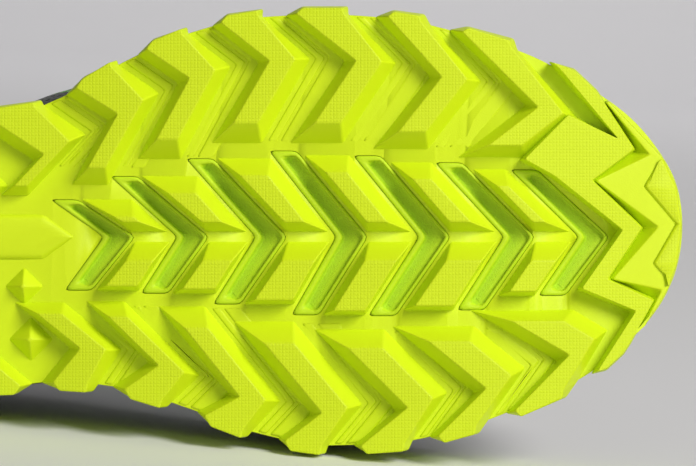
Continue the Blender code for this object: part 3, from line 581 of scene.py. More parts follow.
def gather(shells):
    """Several shells as one list of points and faces."""
    points = []
    faces = []
    first = 0
    for shell_points, shell_faces in shells:
        points.append(shell_points)
        faces += [face + first for face in shell_faces]
        first += len(shell_points)
    return np.concatenate(points), faces


def new_mesh(name, points, faces):
    """A mesh from arrays of points and of faces, with its faces pointing out."""
    corners = np.concatenate([face.ravel() for face in faces])
    sizes = np.concatenate([np.full(len(face), face.shape[1]) for face in faces])
    starts = np.concatenate(([0], np.cumsum(sizes)[:-1]))
    mesh = bpy.data.meshes.new(name)
    mesh.vertices.add(len(points))
    mesh.vertices.foreach_set("co", np.asarray(points, np.float32).ravel())
    mesh.loops.add(len(corners))
    mesh.loops.foreach_set("vertex_index", corners.astype(np.int32))
    mesh.polygons.add(len(sizes))
    mesh.polygons.foreach_set("loop_start", starts.astype(np.int32))
    mesh.update(calc_edges=True)
    point_out(mesh)
    return mesh


def point_out(mesh):
    """Make the faces of closed shells point out, and shade them smooth."""
    bm = bmesh.new()
    bm.from_mesh(mesh)
    bmesh.ops.recalc_face_normals(bm, faces=bm.faces)
    bm.to_mesh(mesh)
    bm.free()
    mesh.shade_smooth()


def points_of(mesh):
    """Points of a mesh as an array."""
    points = np.empty(len(mesh.vertices) * 3, np.float32)
    mesh.vertices.foreach_get("co", points)
    return points.reshape(-1, 3).astype(float)


def set_points(mesh, points):
    """Move a mesh's points."""
    mesh.vertices.foreach_set("co", np.asarray(points, np.float32).ravel())
    mesh.update()


def set_plan(mesh, name, plan):
    """A UV map that holds two numbers of each point, such as lengths along the cloth."""
    loops = np.empty(len(mesh.loops), np.int32)
    mesh.loops.foreach_get("vertex_index", loops)
    layer = mesh.uv_layers.new(name=name)
    layer.data.foreach_set("uv", np.asarray(plan, np.float32)[loops].ravel())


def set_mask(mesh, name, values):
    """A number for each point of a mesh, which a finish reads by its name."""
    layer = mesh.attributes.new(name, "FLOAT", "POINT")
    layer.data.foreach_set("value", np.asarray(values, np.float32))


def new_piece(name, mesh, finish, slot, *nodes):
    """Show a laid mesh as a piece of the shoe that stands for solids of the frame."""
    piece = bpy.data.objects.new(name, mesh)
    bpy.context.scene.collection.objects.link(piece)
    mesh.materials.append(finish)
    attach(piece, "root")
    if nodes:
        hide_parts(*nodes)
    return piece


class Value:
    """A socket on which arithmetic adds Math nodes."""

    def __init__(self, finish, socket):
        self.finish = finish
        self.socket = socket

    def __add__(self, other):
        return self.finish.math("ADD", self, other)

    def __sub__(self, other):
        return self.finish.math("SUBTRACT", self, other)

    def __rsub__(self, other):
        return self.finish.math("SUBTRACT", other, self)

    def __mul__(self, other):
        return self.finish.math("MULTIPLY", self, other)

    __radd__ = __add__
    __rmul__ = __mul__


class Finish:
    """A material in the making, with its shader's constant values set first."""

    def __init__(self, name, roughness, specular, sheen=0.0):
        self.material = bpy.data.materials.new(name)
        self.material.use_nodes = True
        self.tree = self.material.node_tree
        self.shader = self.tree.nodes["Principled BSDF"]
        self.shader.inputs["Roughness"].default_value = roughness
        self.shader.inputs["Specular IOR Level"].default_value = specular
        self.shader.inputs["Sheen Weight"].default_value = sheen

    def node(self, kind, settings=None, inputs=None, output=0):
        """Any node: its settings first, then values or links by socket name or place."""
        made = self.tree.nodes.new(kind)
        for key, value in (settings or {}).items():
            setattr(made, key, value)
        for key, value in (inputs or {}).items():
            if isinstance(value, Value):
                self.tree.links.new(value.socket, made.inputs[key])
            else:
                made.inputs[key].default_value = value
        return Value(self, made.outputs[output])

    def math(self, operation, *values):
        """A Math node on values or numbers."""
        return self.node("ShaderNodeMath", {"operation": operation}, dict(enumerate(values)))

    def plan(self, name):
        """Both numbers of a UV map, in metres."""
        where = self.node("ShaderNodeUVMap", {"uv_map": name})
        parts = self.node("ShaderNodeSeparateXYZ", inputs={0: where})
        return where, parts, Value(self, parts.socket.node.outputs[1])

    def mask(self, name):
        """The number that each point holds under a name."""
        return self.node("ShaderNodeAttribute", {"attribute_name": name}, output="Fac")

    def place(self):
        """Object coordinates, in metres."""
        return self.node("ShaderNodeTexCoord", output="Object")

    def noise(self, vector, scale, detail=2.0):
        """Cloudy noise between 0 and 1."""
        return self.node("ShaderNodeTexNoise",
                         inputs={"Vector": vector, "Scale": scale, "Detail": detail})

    def wave(self, value, pitch):
        """Sine of a length with the given pitch."""
        return self.math("SINE", value * (2.0 * math.pi / pitch))

    def step(self, value, low, high):
        """Rises from 0 at low to 1 at high."""
        return self.node("ShaderNodeMapRange", {"interpolation_type": "SMOOTHSTEP"},
                         {"Value": value, "From Min": low, "From Max": high})

    def mix(self, factor, first, second):
        """One colour into another."""
        colours = {}
        for place, colour in ((6, first), (7, second)):
            colours[place] = colour if isinstance(colour, Value) else (*colour, 1.0)
        return self.node("ShaderNodeMix", {"data_type": "RGBA"}, {0: factor, **colours}, 2)

    def feed(self, socket, value):
        """Link a value to a socket of the shader."""
        self.tree.links.new(value.socket, self.shader.inputs[socket])

    def bump(self, height, distance, before=None):
        """Relief from a height between 0 and 1, in metres of depth."""
        inputs = {"Height": height, "Distance": distance, "Strength": 1.0}
        if before is not None:
            inputs["Normal"] = before
        return self.node("ShaderNodeBump", inputs=inputs)


def rubber_finish(look):
    """Matt moulded rubber with a fine square hatch on the lugs, whose dents carry painted shade,
    and a light grain.
    """
    made = Finish("lime_rubber", roughness=0.5, specular=0.35)
    where, x, y = made.plan("plan")
    level = made.mask("level")
    lines = [made.step(made.wave(length, look.hatch_pitch), 0.3, 0.95) for length in (x, y)]
    lugs = made.step(level, 0.92, 0.94)
    grain = made.noise(where, 2600.0, 3.0)
    tone = made.noise(where, 40.0)
    dents = made.math("MAXIMUM", *lines) * lugs
    bright = tuple(look.rubber)
    deep = tuple(channel * 0.82 for channel in look.rubber)
    # Painted shade: the hatch's dents are up to 12 % darker as shade in the grooves; the cloudy
    # tone darkens up to 10 % more at random
    colour = made.mix(dents * 0.12 + made.step(tone, 0.35, 0.8) * 0.10, bright, deep)
    made.feed("Base Color", colour)
    made.feed("Roughness", 0.46 + tone * 0.14)
    relief = made.bump(grain, 0.00004)
    made.feed("Normal", made.bump(1.0 - dents, 0.00005, relief))
    return made.material


def foam_finish(look):
    """Moulded foam skin, smooth and slightly open, grainy in the windows, where painted shade
    makes the recesses darker and greener.
    """
    made = Finish("lime_foam", roughness=0.55, specular=0.3)
    where = made.place()
    depth = made.mask("depth")
    skin = made.noise(where, 900.0, 4.0)
    grain = made.noise(where, 3400.0, 2.0)
    tone = made.noise(where, 30.0)
    light = tuple(look.foam)
    # Painted shade: the recesses are the foam made darker and greener, as shade in the windows
    green = (light[0] * 0.82, light[1] * 0.93, light[2])
    colour = made.mix(made.step(depth, 0.15, 0.8), light, green)
    worn = made.mix(made.step(tone, 0.4, 0.8) * 0.15, colour,
                    tuple(channel * 0.75 for channel in light))
    made.feed("Base Color", worn)
    made.feed("Roughness", 0.48 + skin * 0.2)
    relief = made.bump(skin, 0.00005)
    rough = made.step(depth, 0.15, 0.6) * grain
    made.feed("Normal", made.bump(rough, 0.00022, relief))
    return made.material


def upper_finish(look):
    """Knitted mesh with open cells painted near black as shade inside them, smooth welded
    overlays, and slanted green streaks.
    """
    made = Finish("charcoal_mesh", roughness=0.85, specular=0.3, sheen=0.15)
    where, along, up = made.plan("cloth")
    overlay = made.mask("overlay")
    lining = made.mask("lining")
    pitch = look.mesh_pitch
    cells = made.wave(along, pitch) * made.wave(up, pitch) * 0.5 + 0.5
    threads = made.wave(along + up * 0.5, pitch * 0.31) * 0.5 + 0.5
    open_cells = made.step(cells, 0.62, 0.9) * (1.0 - overlay) * (1.0 - lining)
    streak = made.wave(along * 0.8 + up * 1.1, 0.016) * 0.5 + 0.5
    streaks = made.step(streak, 0.80, 0.86) * made.mask("streak")
    tone = made.noise(where, 60.0, 3.0)
    cloth = made.mix(streaks, tuple(look.mesh), tuple(look.accent))
    cloth = made.mix(threads * 0.25 + tone * 0.15, cloth, (0.10, 0.11, 0.10))
    # Painted shade: the open cells go near black, darker than the lining, as shade inside the
    # holes
    cloth = made.mix(open_cells * 0.85, cloth, (0.008, 0.009, 0.009))
    film = made.mix(made.step(tone, 0.3, 0.8) * 0.3, tuple(look.overlay), (0.055, 0.06, 0.06))
    inside = made.mix(threads * 0.3, tuple(look.lining), (0.05, 0.055, 0.05))
    colour = made.mix(overlay, cloth, film)
    made.feed("Base Color", made.mix(lining, colour, inside))
    made.feed("Roughness", 0.86 - overlay * 0.42 + tone * 0.08)
    relief = made.bump(threads, 0.00006)
    soft = made.bump(1.0 - open_cells, 0.00035, relief)
    grain = made.noise(where, 2500.0)
    made.feed("Normal", made.bump(grain * overlay, 0.00005, soft))
    return made.material


def cloth_finish(name, colour, light, pitch):
    """Woven cloth: two crossing sets of threads with a brushed nap."""
    made = Finish(name, roughness=0.9, specular=0.25, sheen=0.2)
    where, along, across = made.plan("cloth")
    warp = made.wave(along, pitch) * 0.5 + 0.5
    weft = made.wave(across, pitch) * 0.5 + 0.5
    weave = made.math("MAXIMUM", warp * (1.0 - weft), weft * (1.0 - warp))
    nap = made.noise(where, 1800.0, 3.0)
    tone = made.noise(where, 45.0, 3.0)
    shade = made.mix(weave * 0.5 + tone * 0.3, tuple(colour), tuple(light))
    made.feed("Base Color", shade)
    made.feed("Roughness", 0.82 + nap * 0.14)
    made.feed("Normal", made.bump(nap, 0.00008, made.bump(weave, 0.00020)))
    return made.material


def lace_finish(look):
    """Flat braid: slanted threads that cross, darker between them."""
    made = Finish("green_lace", roughness=0.8, specular=0.3, sheen=0.2)
    where, along, across = made.plan("cloth")
    left = made.wave(along + across, 0.0014) * 0.5 + 0.5
    right = made.wave(along - across, 0.0014) * 0.5 + 0.5
    braid = made.math("MAXIMUM", left, right)
    tone = made.noise(where, 300.0)
    base = tuple(look.lace)
    dark = tuple(channel * 0.45 for channel in base)
    made.feed("Base Color", made.mix(1.0 - braid, base, dark))
    made.feed("Roughness", 0.74 + tone * 0.12)
    made.feed("Normal", made.bump(braid, 0.00025))
    return made.material


def to_edge(x, y, slope, side, toward, beyond):
    """Point where an arm that leaves a corner outwards passes the edge of the sole, found
    by halving the interval."""
    low = 0.0
    high = BALL_BREADTH
    for _ in range(40):
        middle = (low + high) / 2.0
        if abs(y) + middle < float(breadth(x - toward * slope * middle, side)) + beyond:
            low = middle
        else:
            high = middle
    return x - toward * slope * low, side * (abs(y) + low)


def inset(outline, distance):
    """An outline moved inwards: each corner slides along the sum of its edges' normals,
    over one plus their product."""
    edge = unit(np.roll(outline, -1, axis=0) - outline)
    x, y = outline.T
    turn = np.sign(np.sum(x * np.roll(y, -1) - y * np.roll(x, -1)))
    normal = turn * np.stack((-edge[:, 1], edge[:, 0]), axis=1)
    before = np.roll(normal, 1, axis=0)
    spread = 1.0 + np.sum(normal * before, axis=1)
    return outline + distance * (normal + before) / np.maximum(spread, 0.35)[:, None]


def rounded(outline, cut):
    """An outline with each corner as three points of a small curve."""
    sides = []
    for other in (np.roll(outline, 1, axis=0), np.roll(outline, -1, axis=0)):
        away = other - outline
        reach = np.linalg.norm(away, axis=1)[:, None]
        sides.append(outline + away * np.minimum(cut / reach, 0.3))
    middle = 0.25 * sides[0] + 0.5 * outline + 0.25 * sides[1]
    return np.stack((sides[0], middle, sides[1]), axis=1).reshape(-1, 2)


def lug_shell(foot, flat, drop=0.0, radius=EDGE_RADIUS):
    """A lug lofted through nested outlines: down in the base, at its foot, up its wall, and
    over a rounded edge on to its flat, which is closed by strips."""
    foot = np.array(foot, float)
    flat = np.array(flat, float)
    top = inset(flat, radius)
    run = np.linalg.norm(flat - foot, axis=1).mean()
    keep = 1.0 - radius / math.hypot(run, LUG_HEIGHT - drop)
    wall = foot + (flat - foot) * keep
    wall_height = LUG_HEIGHT + (drop - LUG_HEIGHT) * keep
    edge = 0.25 * wall + 0.5 * flat + 0.25 * top
    edge_height = 0.25 * wall_height + 0.75 * drop
    return level_shell(((foot, LUG_HEIGHT + 0.5 * OUTSOLE_BASE), (foot, LUG_HEIGHT),
                        (wall, wall_height), (edge, edge_height), (top, drop)))


def level_ring(plan, height):
    """An outline at one height."""
    return np.column_stack((plan, np.full(len(plan), height)))


def level_shell(levels):
    """A form lofted through outlines with cut corners, each at its own height."""
    rings = [level_ring(rounded(outline, CORNER_CUT), height) for outline, height in levels]
    return shell_of(rings, strip_faces)


def arms(x, y, side, toward, slopes, inner, beyond, back_off=0.0):
    """Outer end, corner and inner end of one line of a chevron."""
    out_slope, in_slope = slopes
    reach = y - inner - back_off
    return [to_edge(x, y, out_slope, side, toward, beyond), (x, side * y),
            (x - toward * in_slope * reach, side * (inner + back_off))]


def side_lug(side, row, toward=1):
    """A chevron lug of one side, whose outer end stands out as a tooth: its two corners lie
    beyond the sole's edge, near the points where the flat's edges cross it."""
    station, offset, drift, rear, front, low_front, in_slope, in_offset = row
    x = SOLE_LENGTH * station
    y = BALL_BREADTH * offset
    inner = BALL_BREADTH * in_offset

    def line(shift, slope, back_off=0.0):
        return arms(x + toward * shift, y + drift * shift, side, toward, (slope, in_slope),
                    inner, 0.0, back_off)

    facet = LUG_FACET * (y - inner)
    flat_rear = line(0.0, rear, facet)
    flat_front = line(FLAT_REACH, front, facet)
    foot_rear = line(-REAR_RUN, rear)
    foot_front = line(FLAT_REACH + FRONT_RUN, low_front)
    tips = (flat_rear[0][0] + toward * TOOTH_REAR, flat_front[0][0] - toward * TOOTH_FRONT)
    high = []
    low = []
    for tip, run in zip(tips, (0.0, TOOTH_RUN)):
        edge = side * (float(breadth(tip, side)) + TOOTH)
        high.append((tip, edge - min(side, 0) * TOOTH_LEAN))
        low.append((tip + toward * run, edge))
    foot = [low[0], *foot_rear, *foot_front[::-1], low[1]]
    flat = [high[0], *flat_rear, *flat_front[::-1], high[1]]
    return lug_shell(foot, flat)


def side_ledge(side, row):
    """Low ledge in front of a lug: a ridge and a step across the gap to the next lug, which
    fade towards the sole's middle."""
    station, offset, drift, slope, in_slope, in_offset = *row[:3], *row[5:]
    inner = BALL_BREADTH * max(in_offset + LEDGE_GAP, LEDGE_INNER)
    shells = []
    for low, high, height, soft in LEDGES:
        lines = []
        for run in (low, high):
            shift = FLAT_REACH + FRONT_RUN + run
            lines.append(arms(SOLE_LENGTH * station + shift,
                              BALL_BREADTH * offset + drift * shift, side, 1,
                              (slope, in_slope), inner, -LEDGE_SHORT))
        foot = np.array(lines[0] + lines[1][::-1])
        points, faces = lug_shell(foot, inset(foot, soft), LUG_HEIGHT - height,
                                  radius=0.5 * soft)
        share = smooth(inner, inner + LEDGE_FADE, np.abs(points[:, 1]))
        points[:, 2] = LUG_HEIGHT + (points[:, 2] - LUG_HEIGHT) * share
        shells.append((points, faces))
    return shells


def window_rows(index, grow=0.0):
    """Rear and front edge of a window, from its medial end over its corner."""
    station, medial, medial_slope, lateral, lateral_slope = WINDOWS[index]
    x = SOLE_LENGTH * station
    top = BALL_BREADTH * medial + grow
    low = BALL_BREADTH * lateral + grow
    rear = ((x - medial_slope * top, -top), (x, 0.0), (x - lateral_slope * low, low))
    reaches = (WINDOW_REACH, WINDOW_APEX_REACH, WINDOW_REACH)
    front = tuple((point[0] + reach, point[1]) for point, reach in zip(rear, reaches))
    rear = tuple((point[0] - grow, point[1]) for point in rear)
    front = tuple((point[0] + grow, point[1]) for point in front)
    return rear, front


def window_ring(index, grow):
    """Outline of a window, made larger or smaller all round."""
    rear, front = window_rows(index, grow)
    return np.array(rear + front[::-1])


def across(start, end, y):
    """Point of a straight edge at a given offset from the sole's axis."""
    share = (y - start[1]) / (end[1] - start[1])
    return start[0] + share * (end[0] - start[0])


def middle_lugs(index):
    """The two lugs between one window and the next, on each side of the channel."""
    front = window_rows(index)[1]
    rear = window_rows(index + 1)[0]
    shells = []
    for end, outer_run, inner_run, rear_run, front_run in MIDDLE_RUNS:
        sign = -1 if end == 0 else 1
        outer = sign * min(abs(front[end][1]), abs(rear[end][1]))
        inner = sign * CENTRE_CHANNEL
        foot_ys = (outer, inner)
        flat_ys = (outer - sign * outer_run, inner + sign * inner_run)
        foot = [(across(front[1], front[end], y) + CENTRE_MARGIN, y) for y in foot_ys]
        foot += [(across(rear[1], rear[end], y) - CENTRE_MARGIN, y) for y in foot_ys[::-1]]
        flat = [(across(front[1], front[end], y) + rear_run, y) for y in flat_ys]
        flat += [(across(rear[1], rear[end], y) - front_run, y) for y in flat_ys[::-1]]
        shells.append(lug_shell(foot, flat))
    return shells


def heel_vee(station, reach):
    """A lug in one piece with two arms, in the middle of the heel, pointing to its rear."""
    x = SOLE_LENGTH * station
    reach = BALL_BREADTH * reach
    rear_run = 0.5 * REAR_RUN
    front_run = 0.5 * FRONT_RUN

    def line(shift, half):
        end = x - shift + VEE_SLOPE * half
        return [(end, -half), (x - shift, 0.0), (end, half)]

    short = reach - VEE_END * rear_run
    foot = line(0.0, reach) + line(rear_run + FLAT_REACH + front_run, reach)[::-1]
    flat = line(rear_run, short) + line(rear_run + FLAT_REACH, short)[::-1]
    return lug_shell(foot, flat)


def toe_plate():
    """The last lugs of all three rows in one plate, with a zigzag front edge."""
    rows = np.array(TOE_PLATE).reshape(-1, 2, 2) * (SOLE_LENGTH, BALL_BREADTH)
    flat = np.concatenate((rows[:, 0], rows[::-1, 1]))
    return lug_shell(inset(flat, -PLATE_RUN), flat, PLATE_DROP, radius=0.5 * EDGE_RADIUS)


def bumper():
    """Raised edge round the toe: its rear wall slopes down to the plate, and closes to
    nothing at the inner corners of the zigzag. A second zigzag steps up across it."""
    rows = np.array(BUMPER)
    corners = rows[:, :6].reshape(-1, 3, 2) * (SOLE_LENGTH, BALL_BREADTH)
    foot, wall, step = corners.transpose(1, 0, 2)
    edge = np.array([(SOLE_LENGTH * x, side * breadth(SOLE_LENGTH * x, side))
                     for x, side in rows[:, 6:]])
    inward = unit((BUMPER_CENTRE * SOLE_LENGTH, 0.0) - edge)
    top = edge + BUMPER_ROUND * inward
    low = lug_shell(np.concatenate((foot, edge[::-1])), np.concatenate((wall, top[::-1])),
                    drop=BUMPER_DROP)
    ramp = np.outer((0.0, 1.0, 1.0, 1.0, 0.0), (BUMPER_RAMP, 0.0))
    crest = top + BUMPER_ROUND * inward
    rise = np.concatenate((step[1:6], top[5:0:-1]))
    flat = np.concatenate((step[1:6] + ramp, crest[5:0:-1]))
    high = level_shell(((rise, LUG_HEIGHT), (rise, BUMPER_DROP),
                        (flat, BUMPER_DROP - BUMPER_STEP)))
    return [low, high]


def waist_forms():
    """Bare panel in the waist, and small four-sided facets on both sides of it."""
    x = PLAQUE_STATION * SOLE_LENGTH
    reach = PLAQUE_REACH
    half = PLAQUE_HALF
    foot = np.array(((x - reach, -half), (x, -half), (x + 0.4 * reach, 0.0), (x, half),
                     (x - reach, half), (x - 1.4 * reach, 0.0)))
    centre = np.array((x - 0.5 * reach, 0.0))
    flat = centre + (foot - centre) * (0.85, 0.6)
    shells = [lug_shell(foot, flat, LUG_HEIGHT - PLAQUE_TOP, PLAQUE_ROUND)]
    for share, offset, half in FACETS:
        centre = np.array((SOLE_LENGTH * share, BALL_BREADTH * offset))
        foot = centre + half * np.array(((-1, 0), (0, -1), (1, 0), (0, 1)))
        flat = centre + (foot - centre) * FACET_TOP
        shells.append(lug_shell(foot, flat, FACET_DROP * LUG_HEIGHT, FACET_ROUND))
    return shells


def tread_shells():
    """Every lug, ledge and plate of the tread, before it is bent to the side view."""
    shells = [side_lug(-1, row) for row in MEDIAL_LUGS]
    shells += [side_lug(1, row) for row in LATERAL_LUGS]
    for side, rows in ((-1, MEDIAL_LUGS), (1, LATERAL_LUGS)):
        for row in rows[:-1]:
            shells += side_ledge(side, row)
    for row in HEEL_LUGS:
        shells.append(side_lug(-1, row, toward=-1))
        shells.append(side_lug(1, row, toward=-1))
    for index in range(len(WINDOWS) - 1):
        shells += middle_lugs(index)
    shells += [heel_vee(*row) for row in HEEL_MIDDLE]
    return shells + [toe_plate()] + bumper() + waist_forms()


def cut_windows(mesh):
    """The base with its windows cut through, by one Boolean per window."""
    base = bpy.data.objects.new("base_to_cut", mesh)
    bpy.context.scene.collection.objects.link(base)
    cutters = []
    for index in range(len(WINDOWS)):
        plan = rounded(window_ring(index, 0.0), WINDOW_CUT)
        rings = [level_ring(plan, height) for height in
                 (LUG_HEIGHT - PLAQUE_HEIGHT, LUG_HEIGHT + 2.0 * OUTSOLE_BASE)]
        cutter = bpy.data.objects.new("window", new_mesh("window", *shell_of(rings, strip_faces)))
        bpy.context.scene.collection.objects.link(cutter)
        modifier = base.modifiers.new("window", "BOOLEAN")
        modifier.operation = "DIFFERENCE"
        modifier.solver = "EXACT"
        modifier.object = cutter
        cutters.append(cutter)
    graph = bpy.context.evaluated_depsgraph_get()
    made = bpy.data.meshes.new_from_object(base.evaluated_get(graph))
    for old in (base, *cutters):
        bpy.data.objects.remove(old)
    return made


def outsole_mesh():
    """Base plate with rounded lower edge and its lugs, bent to the side view and laid."""
    loop = sole_loop(SOLE_STATIONS)
    rings = (ring(loop, -0.0002, LUG_HEIGHT), ring(loop, 0.0, LUG_HEIGHT + 0.0003),
             ring(loop, 0.0, LUG_HEIGHT + OUTSOLE_BASE))
    base = cut_windows(new_mesh("base", *shell_of(rings, sole_cap)))
    lugs = new_mesh("lugs", *gather(tread_shells()))
    bm = bmesh.new()
    bm.from_mesh(base)
    bm.from_mesh(lugs)
    mesh = bpy.data.meshes.new("outsole_rubber")
    bm.to_mesh(mesh)
    bm.free()
    mesh.shade_smooth()
    points = points_of(mesh)
    set_plan(mesh, "plan", points[:, :2])
    set_mask(mesh, "level", (LUG_HEIGHT - points[:, 2]) / LUG_HEIGHT)
    points[:, 2] += tread_rise(points[:, 0])
    set_points(mesh, lay(points))
    return mesh


def upper_rays(half):
    """Rays of the upper from the sole edge to the opening, as four points each: foot,
    widest point, shoulder and opening."""
    ways, sides = loop_ways(half)
    loop = sole_loop(half)
    away = outward(loop)
    open_x = SOLE_LENGTH * column(OPENING, 1, ways)
    open_y = BALL_BREADTH * (column(OPENING, 2, ways) + sides * column(OPENING, 3, ways))
    open_z = footbed(open_x) + INSTEP_HEIGHT * column(OPENING, 4, ways)
    opening = np.stack((open_x, open_y, open_z), axis=1)
    foot = loop - away * UPPER_INSET
    foot = np.column_stack((foot, footbed(foot[:, 0]) + CLEARANCE))
    bulge = np.where(sides < 0, column(SIDE, 2, ways), column(SIDE, 3, ways))
    widest = loop + away * (BALL_BREADTH * bulge)[:, None]
    widest_z = footbed(widest[:, 0]) + INSTEP_HEIGHT * column(SIDE, 1, ways)
    lean = column(SIDE, 4, ways)[:, None]
    shoulder = widest * (1.0 - lean) + opening[:, :2] * lean
    shoulder_z = footbed(shoulder[:, 0]) + INSTEP_HEIGHT * column(SIDE, 5, ways)
    return np.stack((foot, np.column_stack((widest, widest_z)),
                     np.column_stack((shoulder, shoulder_z)), opening), axis=1)


def upper_at(half, rows):
    """Outer surface of the last: a smooth curve along each ray, read at shares of its
    length, one share for each row and ray."""
    rays = upper_rays(half)
    steps = np.linalg.norm(np.diff(rays, axis=1), axis=2)
    knots = np.concatenate((np.zeros((len(rays), 1)), np.cumsum(steps, axis=1)), axis=1)
    knots = knots / knots[:, -1:]
    return np.stack([ease_rows(knots, rays[:, :, axis], rows.T).T for axis in range(3)], axis=2)


def surface_normals(surface):
    """Unit normals of a grid that runs round the shoe and up, pointing outwards."""
    along = np.roll(surface, -1, axis=1) - np.roll(surface, 1, axis=1)
    up = np.gradient(surface, axis=0)
    normals = np.cross(along, up)
    normals[0, :, 2] = 0.0
    return unit(normals)


def banded(edges, counts):
    """Rows between given edge rows, with a given number of steps in each band."""
    rows = []
    for low, high, count in zip(edges, edges[1:], counts):
        rows += [low + (high - low) * step / count for step in range(count)]
    return np.array(rows + [edges[-1]])


def upper_edges(half):
    """Top edge of the cap and counter, and bottom edge of the eyestay and cuff, by ray."""
    ways = loop_ways(half)[0]
    return column(OVERLAYS, 1, ways), column(OVERLAYS, 2, ways)


def upper_outside(half):
    """Outer grid of the upper: rows follow the overlays' edges, and the overlays stand
    proud. Gives the grid, its normals and how much of each point is overlay."""
    cap, stay = upper_edges(half)
    bevel = OVERLAY_BEVEL
    nothing = np.zeros(len(cap))
    edges = [nothing, nothing + RIM_ROW, cap - bevel, cap + bevel, stay - bevel,
             stay + bevel, nothing + 1.0]
    counts = (5, 18, 2, 48, 2, 20)
    rows = banded(edges, counts)
    levels = banded([np.array(level) for level in (0.0, 1.0, 1.0, 0.0, 0.0, 1.0, 1.0)], counts)
    surface = upper_at(half, rows)
    normals = surface_normals(surface)
    raised = surface + normals * (OVERLAY * levels)[:, None, None]
    return raised, normals, np.broadcast_to(levels[:, None], rows.shape), rows


def upper_inside(half, count):
    """Inner grid of the upper: the outer form moved in by the wall and the padding, which
    swells towards the collar and thins at its edge."""
    cap, stay = upper_edges(half)
    nothing = np.zeros(len(cap))
    rows = banded([nothing, cap, stay, nothing + 1.0], (count, count, count))
    level = banded([np.array(value) for value in (0.0, 1.0, 2.0, 3.0)], (count, count, count))
    padded = np.interp(level, (0.0, 1.33, 1.67, 2.0, 2.5, 3.0), (0.0, 0.0, 0.1, 0.7, 1.0, 0.5))
    surface = upper_at(half, rows)
    padding = COLLAR_PADDING * column(OVERLAYS, 3, loop_ways(half)[0])
    wall = UPPER_WALL + padded[:, None] * padding[None, :]
    return surface - surface_normals(surface) * wall[:, :, None]


def flex_creases(surface, normals, rows):
    """Soft troughs across the vamp, where the forefoot bends. Each is a
    bell across a station line, fading towards the sole and the throat."""
    x = surface[:, :, 0] / SOLE_LENGTH
    fade = smooth(0.25, 0.5, rows) * (1.0 - smooth(0.90, 1.0, rows))
    depth = np.zeros(rows.shape)
    for station, lean, deep in CREASES:
        away = x - station - lean * np.abs(surface[:, :, 1])
        depth += deep * np.exp(-(away / CREASE_WIDTH) ** 2)
    return surface - normals * (depth * fade)[:, :, None]


def stay_point(way, side, share):
    """A point over the eyestay and its normal, at a share from its edge inwards."""
    half = STAY_STATIONS
    stay = upper_edges(half)[1]
    rows = np.array([stay - 0.006, stay + 0.006, (stay + 1.0) / 2.0, np.ones(len(stay))])
    surface = upper_at(half, rows)
    normals = surface_normals(surface)
    surface = surface + normals * OVERLAY
    index = way * half
    low = int(math.floor(index))
    blend = index - low
    found = []
    for grid in (surface, normals):
        picks = []
        for step in (low, low + 1):
            place = step if side < 0 else -step
            picks.append(grid[-1, place] * (1.0 - share) + grid[-2, place] * share)
        found.append(picks[0] * (1.0 - blend) + picks[1] * blend)
    return found[0], unit(found[1])


def eyelet_shells():
    """A small welded ring round each eyelet: a circle carried round a circle."""
    shells = []
    round_ring = np.linspace(0.0, 2.0 * math.pi, EYELET_STEPS, endpoint=False)
    section = np.linspace(0.0, 2.0 * math.pi, EYELET_POINTS, endpoint=False)
    for way in LACE_ROWS:
        for side in (-1, 1):
            centre, normal = stay_point(way, side, EYELET)
            first = unit(np.cross(normal, (0.0, 1.0, 0.0)))
            second = np.cross(normal, first)
            out = (np.cos(round_ring)[:, None] * first + np.sin(round_ring)[:, None] * second)
            radius = EYELET_RADIUS + EYELET_THICKNESS * np.cos(section)[None, :, None]
            lift = EYELET_LIFT * np.sin(section)[None, :, None]
            points = centre + out[:, None, :] * radius + normal * lift
            faces = grid_faces(len(round_ring), len(section), True, True)
            shells.append((points.reshape(-1, 3), [faces]))
    return shells


def collar_roll(outside, inside):
    """Rows that round the edge of the collar and the throat from the outside to the lining:
    a cosine across the wall and a low sine along the surface."""
    middle = (outside[-1] + inside[-1]) / 2.0
    across_wall = (outside[-1] - inside[-1]) / 2.0
    gap = 2.0 * np.linalg.norm(across_wall, axis=1)[:, None]
    tangent = unit(outside[-1] - outside[-3])
    angles = math.pi * np.array((0.25, 0.5, 0.75))
    return [middle + across_wall * math.cos(angle) + tangent * gap * COLLAR_ROLL * math.sin(angle)
            for angle in angles]


def cloth_plan(grid, row):
    """Lengths along one row of a grid and up its columns, for each of its points."""
    around = np.linalg.norm(np.roll(grid[row], -1, axis=0) - grid[row], axis=1)
    along = np.concatenate(([0.0], np.cumsum(around)[:-1]))
    rise = np.linalg.norm(np.diff(grid, axis=0), axis=2)
    up = np.concatenate((np.zeros((1, grid.shape[1])), np.cumsum(rise, axis=0)))
    return np.stack((np.broadcast_to(along, up.shape), up), axis=-1).reshape(-1, 2)


def upper_mesh():
    """Upper: the outer grid, a rolled collar edge and the lining, closed underneath, with
    the lengths along the cloth as its plan."""
    outside, normals, overlay, rows = upper_outside(UPPER_STATIONS)
    outside = flex_creases(outside, normals, rows)
    inside = upper_inside(UPPER_STATIONS, 14)
    grid = np.concatenate((outside, collar_roll(outside, inside), inside[::-1]))
    count = grid.shape[1]
    rest = (len(grid) - len(overlay), count)
    station = grid[:, :, 0] / SOLE_LENGTH
    streak = smooth(*STREAKS[:2], station) * (1.0 - smooth(*STREAKS[2:], station))
    faces = grid_faces(len(grid), count, wrap_rows=True, wrap_columns=True)
    shells = [(grid.reshape(-1, 3), [faces])] + eyelet_shells()
    points, all_faces = gather(shells)
    extra = len(points) - grid.shape[0] * count
    mesh = new_mesh("upper_knit", lay(points), all_faces)
    plan = cloth_plan(grid, UPPER_PLAN_ROW)
    set_plan(mesh, "cloth", np.concatenate((plan, np.zeros((extra, 2)))))
    masks = (("overlay", np.concatenate((overlay, np.zeros(rest))), 1.0),
             ("lining", np.concatenate((np.zeros(overlay.shape), np.ones(rest))), 0.0),
             ("streak", streak, 0.0))
    for name, values, eyelets in masks:
        set_mask(mesh, name, np.concatenate((values.ravel(), np.full(extra, eyelets))))
    return mesh


